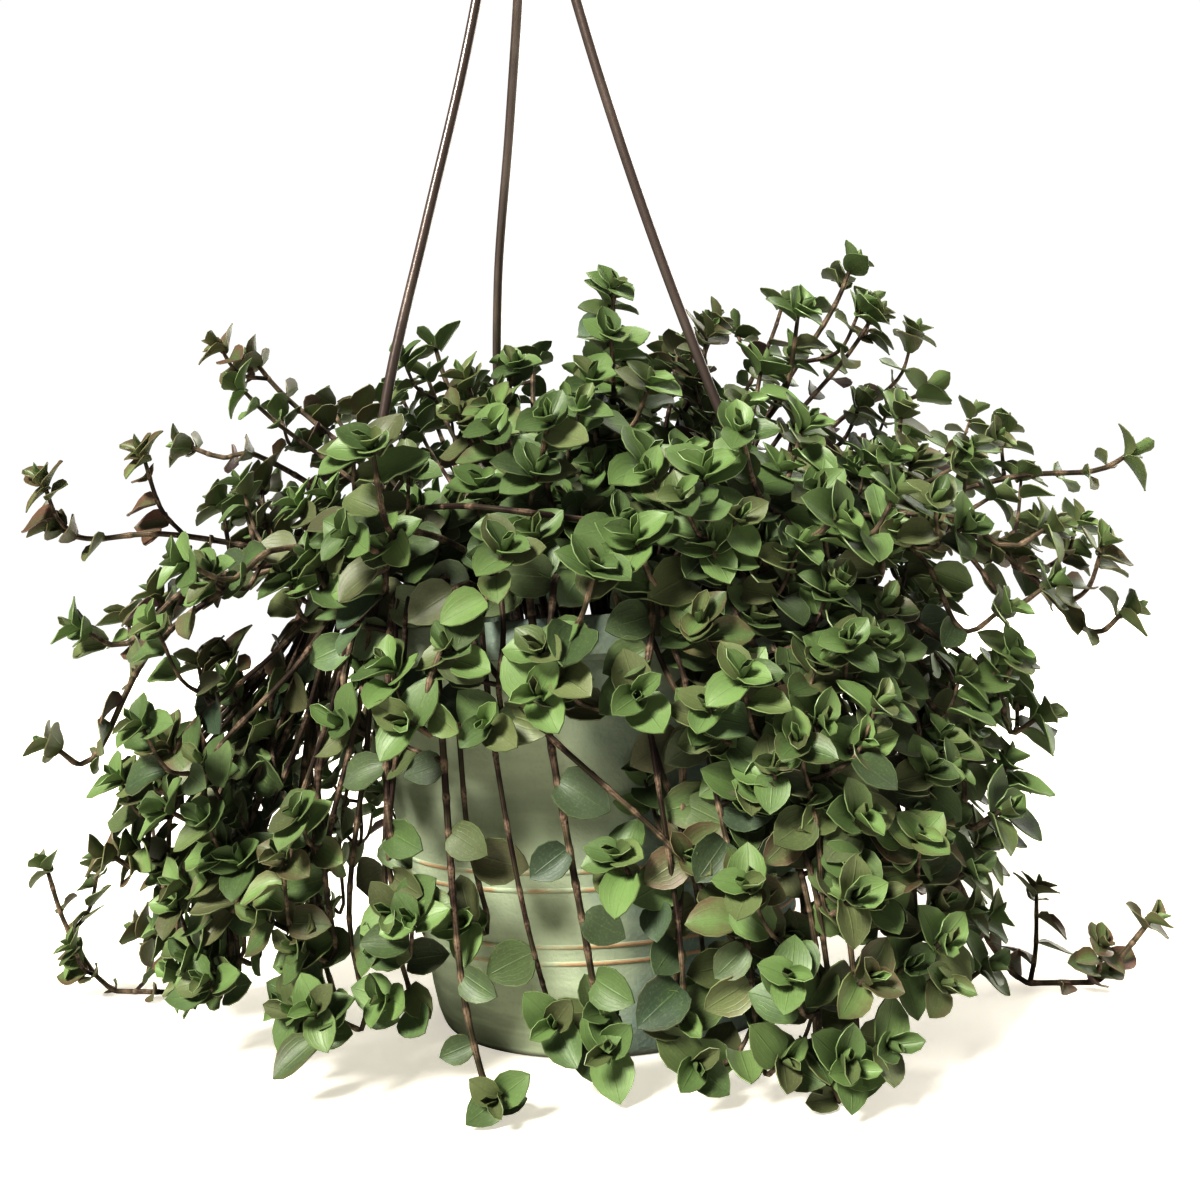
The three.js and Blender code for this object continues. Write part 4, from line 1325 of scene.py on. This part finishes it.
def grow_shoot(growth, plan, radius, draw, ages, blush, habit, depth=0):
    """A shoot with all its leaves: the part's own nodes, and between them some that the part lacks."""
    start_age, tip_age = ages
    route = plan["route"]
    vigour = plan["vigour"]
    own = Draw(int(draw.random() * 1e9))
    nodes = list(plan["nodes"])
    between = (0.25, 0.75) if depth else np.arange(0.5, plan["steps"]) / plan["steps"]
    for share in between:
        if share < plan["bare"] * 0.9:
            continue
        node = node_at(route, share, 1 if draw.random() < 0.5 else -1, own)
        node["ways"] = leaf_ways(node, own)
        node["length"] = LEAF_LENGTH * vigour * (0.8 + 0.3 * draw.random())
        node["bears"] = depth > 0 or draw.random() < habit["fill"]
        node["between"] = True
        nodes.append(node)
    nodes.sort(key=lambda node: node["share"])
    marks = []
    for node in nodes:
        marks.append(node["share"] * route.length)
        age = clamped(mix(start_age, tip_age, node["share"]) + around(draw, 0.3))
        leaf_blush = clamped(blush + around(draw, 0.35))
        direction, normal = node["ways"]
        if node["bears"]:
            direction = direction + normal * around(draw, 0.35)
            growth.leaf(
                kind_for(age, draw), draw, node["base"] + 0.7 * node["side"], direction, normal,
                node["length"] * growth.scale, age, leaf_blush,
            )
        if "shoot" in node:
            ages = (SHOOT_AGE, tip_age)
            grow_shoot(growth, node["shoot"], radius * 0.8, draw, ages, blush, habit, depth + 1)
        elif depth == 0 and "between" in node and draw.random() < habit["extra"]:
            reach = 13 + 17 * draw.random()
            side = Draw(int(draw.random() * 1e9))
            corners = 3 + round(draw.random())
            twig = plan_shoot(shoot_route(node, reach), 2, 0, vigour * 0.9, (), corners, side)
            grow_shoot(growth, twig, radius * 0.7, draw, (TWIG_AGE, tip_age), blush, habit, depth + 1)
    growth.stem(route, radius, marks, min(start_age + 0.2, 1), tip_age)
    grow_rosette(growth, plan, 0.84 * LEAF_LENGTH * vigour * growth.scale, draw, tip_age, blush)


def slim_plan(family, stem, order, draw, bare):
    """A slimmer stem on the family's rule, with its own places for leaves."""
    route = stem_route(stem, family["rows"](stem[2], stem[3], order), around(draw, 14))
    steps = max(round(route.length / INTERNODE), 3)
    bare = bare + 0.12 * draw.random()
    own = Draw(int(draw.random() * 1e9))
    return plan_shoot(route, steps, bare, family["vigour"] * 0.92, (), 3, own)


def nearest_stem(azimuth, stems):
    """The place of the stem whose tip has the nearest azimuth."""
    apart = [abs((azimuth - stem[1] + 180) % 360 - 180) for stem in stems]
    return apart.index(min(apart))


def mate_plan(family, stem, order, mate, draw):
    """A slimmer stem that goes with one of the part's stems, a little to its side and shorter."""
    root, tip_azimuth, reach, tip = stem
    turn = (7 + 6 * draw.random()) * (1 if mate % 2 else -1)
    reach = max(reach * (0.8 + 0.17 * draw.random()), LEAST_REACH)
    height = tip + 14 * (draw.random() - 0.6)
    if tip > HIGH_TIP:
        height = SOIL_TOP + (tip - SOIL_TOP) * (0.72 + 0.24 * draw.random())
    companion = (root + turn, tip_azimuth + turn * 1.2, reach, max(height, LEAST_TIP))
    return slim_plan(family, companion, order + mate + 1, draw, family["bare"] + 0.1)


class VINE_OT_stems(bpy.types.Operator):
    """Leafy stems, one piece for each stem of the part"""

    bl_idname = "vine.stems"
    bl_label = "Leafy stems"

    def execute(self, context):
        colours = context.scene.vine_leaf
        materials = (stem_material(colours), leaf_material(colours))
        leaves = leaf_meshes(colours.thickness)
        for number, (name, family, order, route) in enumerate(routed_stems()):
            draw = random.Random(SEED + number)
            growth = Growth(leaves, colours.scale * family["leaf"])
            steps = math.floor(route.length / INTERNODE + 0.5)
            part_draw = Draw(SEED + 7 * number)
            plan = plan_shoot(route, steps, family["bare"], family["vigour"], family["shoots"], 3, part_draw)
            blush = TURNED.get(name, 0.35 * draw.random())
            habit = SPARSE if name in SPARSE_STEMS else family
            grow_shoot(growth, plan, STEM_RADIUS, draw, STEM_AGES, blush, habit)
            self.grow_mates(growth, family, order, draw)
            self.grow_between(growth, family, order, draw)
            made = to_object(growth.shape, f"{name}_leafy", *materials)
            as_piece(made, "leafy_stem", name)
        return {"FINISHED"}

    def grow_mates(self, growth, family, order, draw):
        """The slimmer stems that go with one of the part's stems."""
        stem = family["stems"][order]
        for mate in range(family["mates"] if stem[2] < FURTHEST_WITH_MATES else 0):
            plan = mate_plan(family, stem, order, mate, draw)
            grow_shoot(growth, plan, SLIM_RADIUS, draw, SLIM_AGES, 0.5 * draw.random(), family)

    def grow_between(self, growth, family, order, draw):
        """The slimmer stems of the groups whose tips are nearest to this stem's."""
        for host, stems, habit in GROUPS:
            for place, slim in enumerate(stems):
                if host == family["name"] and nearest_stem(slim[1], family["stems"]) == order:
                    plan = slim_plan(family, slim, place, draw, habit["bare"])
                    grow_shoot(growth, plan, SLIM_RADIUS, draw, SLIM_AGES, 0.55 * draw.random(), habit)


class VINE_OT_stage(bpy.types.Operator):
    """The table, the light and the camera"""

    bl_idname = "vine.stage"
    bl_label = "Stage"

    def execute(self, context):
        stage = context.scene.vine_stage
        shape = bmesh.new()
        bmesh.ops.create_grid(shape, x_segments=2, y_segments=2, size=TABLE_REACH)
        floor = to_object(shape, "table_top", floor_material(stage))
        self.sky(context.scene, stage.sky)
        self.lamp("key", KEY_PLACE, stage.key, stage.softness)
        self.lamp("rear", REAR_PLACE, stage.rear, REAR_SOFTNESS)
        lens = bpy.data.cameras.new("camera")
        lens.sensor_width = 36
        lens.lens = stage.lens
        lens.clip_start = 0.01
        camera = bpy.data.objects.new("camera", lens)
        camera.matrix_world = (
            Matrix.Translation(stage.camera_place)
            @ Matrix.Rotation(stage.camera_turn, 4, "Z")
            @ Matrix.Rotation(math.pi / 2 + stage.camera_tilt, 4, "X")
            @ Matrix.Rotation(stage.camera_roll, 4, "Z")
        )
        context.scene.collection.objects.link(camera)
        context.scene.camera = camera
        context.scene.view_settings.view_transform = "Standard"
        context.scene.view_settings.gamma = GAMMA
        return {"FINISHED"}

    def lamp(self, name, place, strength, softness):
        """A far lamp that shines on the plant from the side of its place."""
        lamp = bpy.data.lights.new(name, "SUN")
        lamp.angle = softness
        lamp.energy = strength
        lamp.color = TINTS["lamp"]
        made = bpy.data.objects.new(name, lamp)
        made.location = place
        made.rotation_euler = (LIT_PLACE - made.location).to_track_quat("-Z", "Y").to_euler()
        bpy.context.scene.collection.objects.link(made)

    def sky(self, scene, strength):
        """White behind everything, and softer light all round."""
        world = bpy.data.worlds.new("studio")
        world.use_nodes = True
        scene.world = world
        tree = world.node_tree
        shell = tree.nodes["Background"]
        shell.inputs["Color"].default_value = (1, 1, 1, 1)
        path = tree.nodes.new("ShaderNodeLightPath")
        level = tree.nodes.new("ShaderNodeMapRange")
        level.inputs["To Min"].default_value = strength
        level.inputs["To Max"].default_value = 1.02
        tree.links.new(path.outputs["Is Camera Ray"], level.inputs["Value"])
        tree.links.new(level.outputs["Result"], shell.inputs["Strength"])


class VINE_PT_plant(bpy.types.Panel):
    """The plant's pieces, each with its settings"""

    bl_label = "Potted turtle vine"
    bl_space_type = "VIEW_3D"
    bl_region_type = "UI"
    bl_category = "Plant"

    def draw(self, context):
        for operator, settings in STEPS:
            self.layout.operator(operator)
            if settings:
                group = getattr(context.scene, settings)
                for name in type(group).__annotations__:
                    self.layout.prop(group, name)


STEPS = (
    ("vine.stage", "vine_stage"),
    ("vine.pot", "vine_pot"),
    ("vine.soil", ""),
    ("vine.hanger", "vine_hanger"),
    ("vine.stems", "vine_leaf"),
)
SETTINGS = {
    "vine_pot": VinePotSettings,
    "vine_hanger": VineHangerSettings,
    "vine_leaf": VineLeafSettings,
    "vine_stage": VineStageSettings,
}
CLASSES = (VINE_OT_stage, VINE_OT_pot, VINE_OT_soil, VINE_OT_hanger, VINE_OT_stems, VINE_PT_plant)


def register():
    for name, group in SETTINGS.items():
        bpy.utils.register_class(group)
        setattr(bpy.types.Scene, name, bpy.props.PointerProperty(type=group))
    for made in CLASSES:
        bpy.utils.register_class(made)


def unregister():
    for made in reversed(CLASSES):
        bpy.utils.unregister_class(made)
    for name, group in SETTINGS.items():
        delattr(bpy.types.Scene, name)
        bpy.utils.unregister_class(group)


def main():
    register()
    for operator, _ in STEPS:
        group, name = operator.split(".")
        getattr(getattr(bpy.ops, group), name)()


if __name__ == "__main__":
    main()
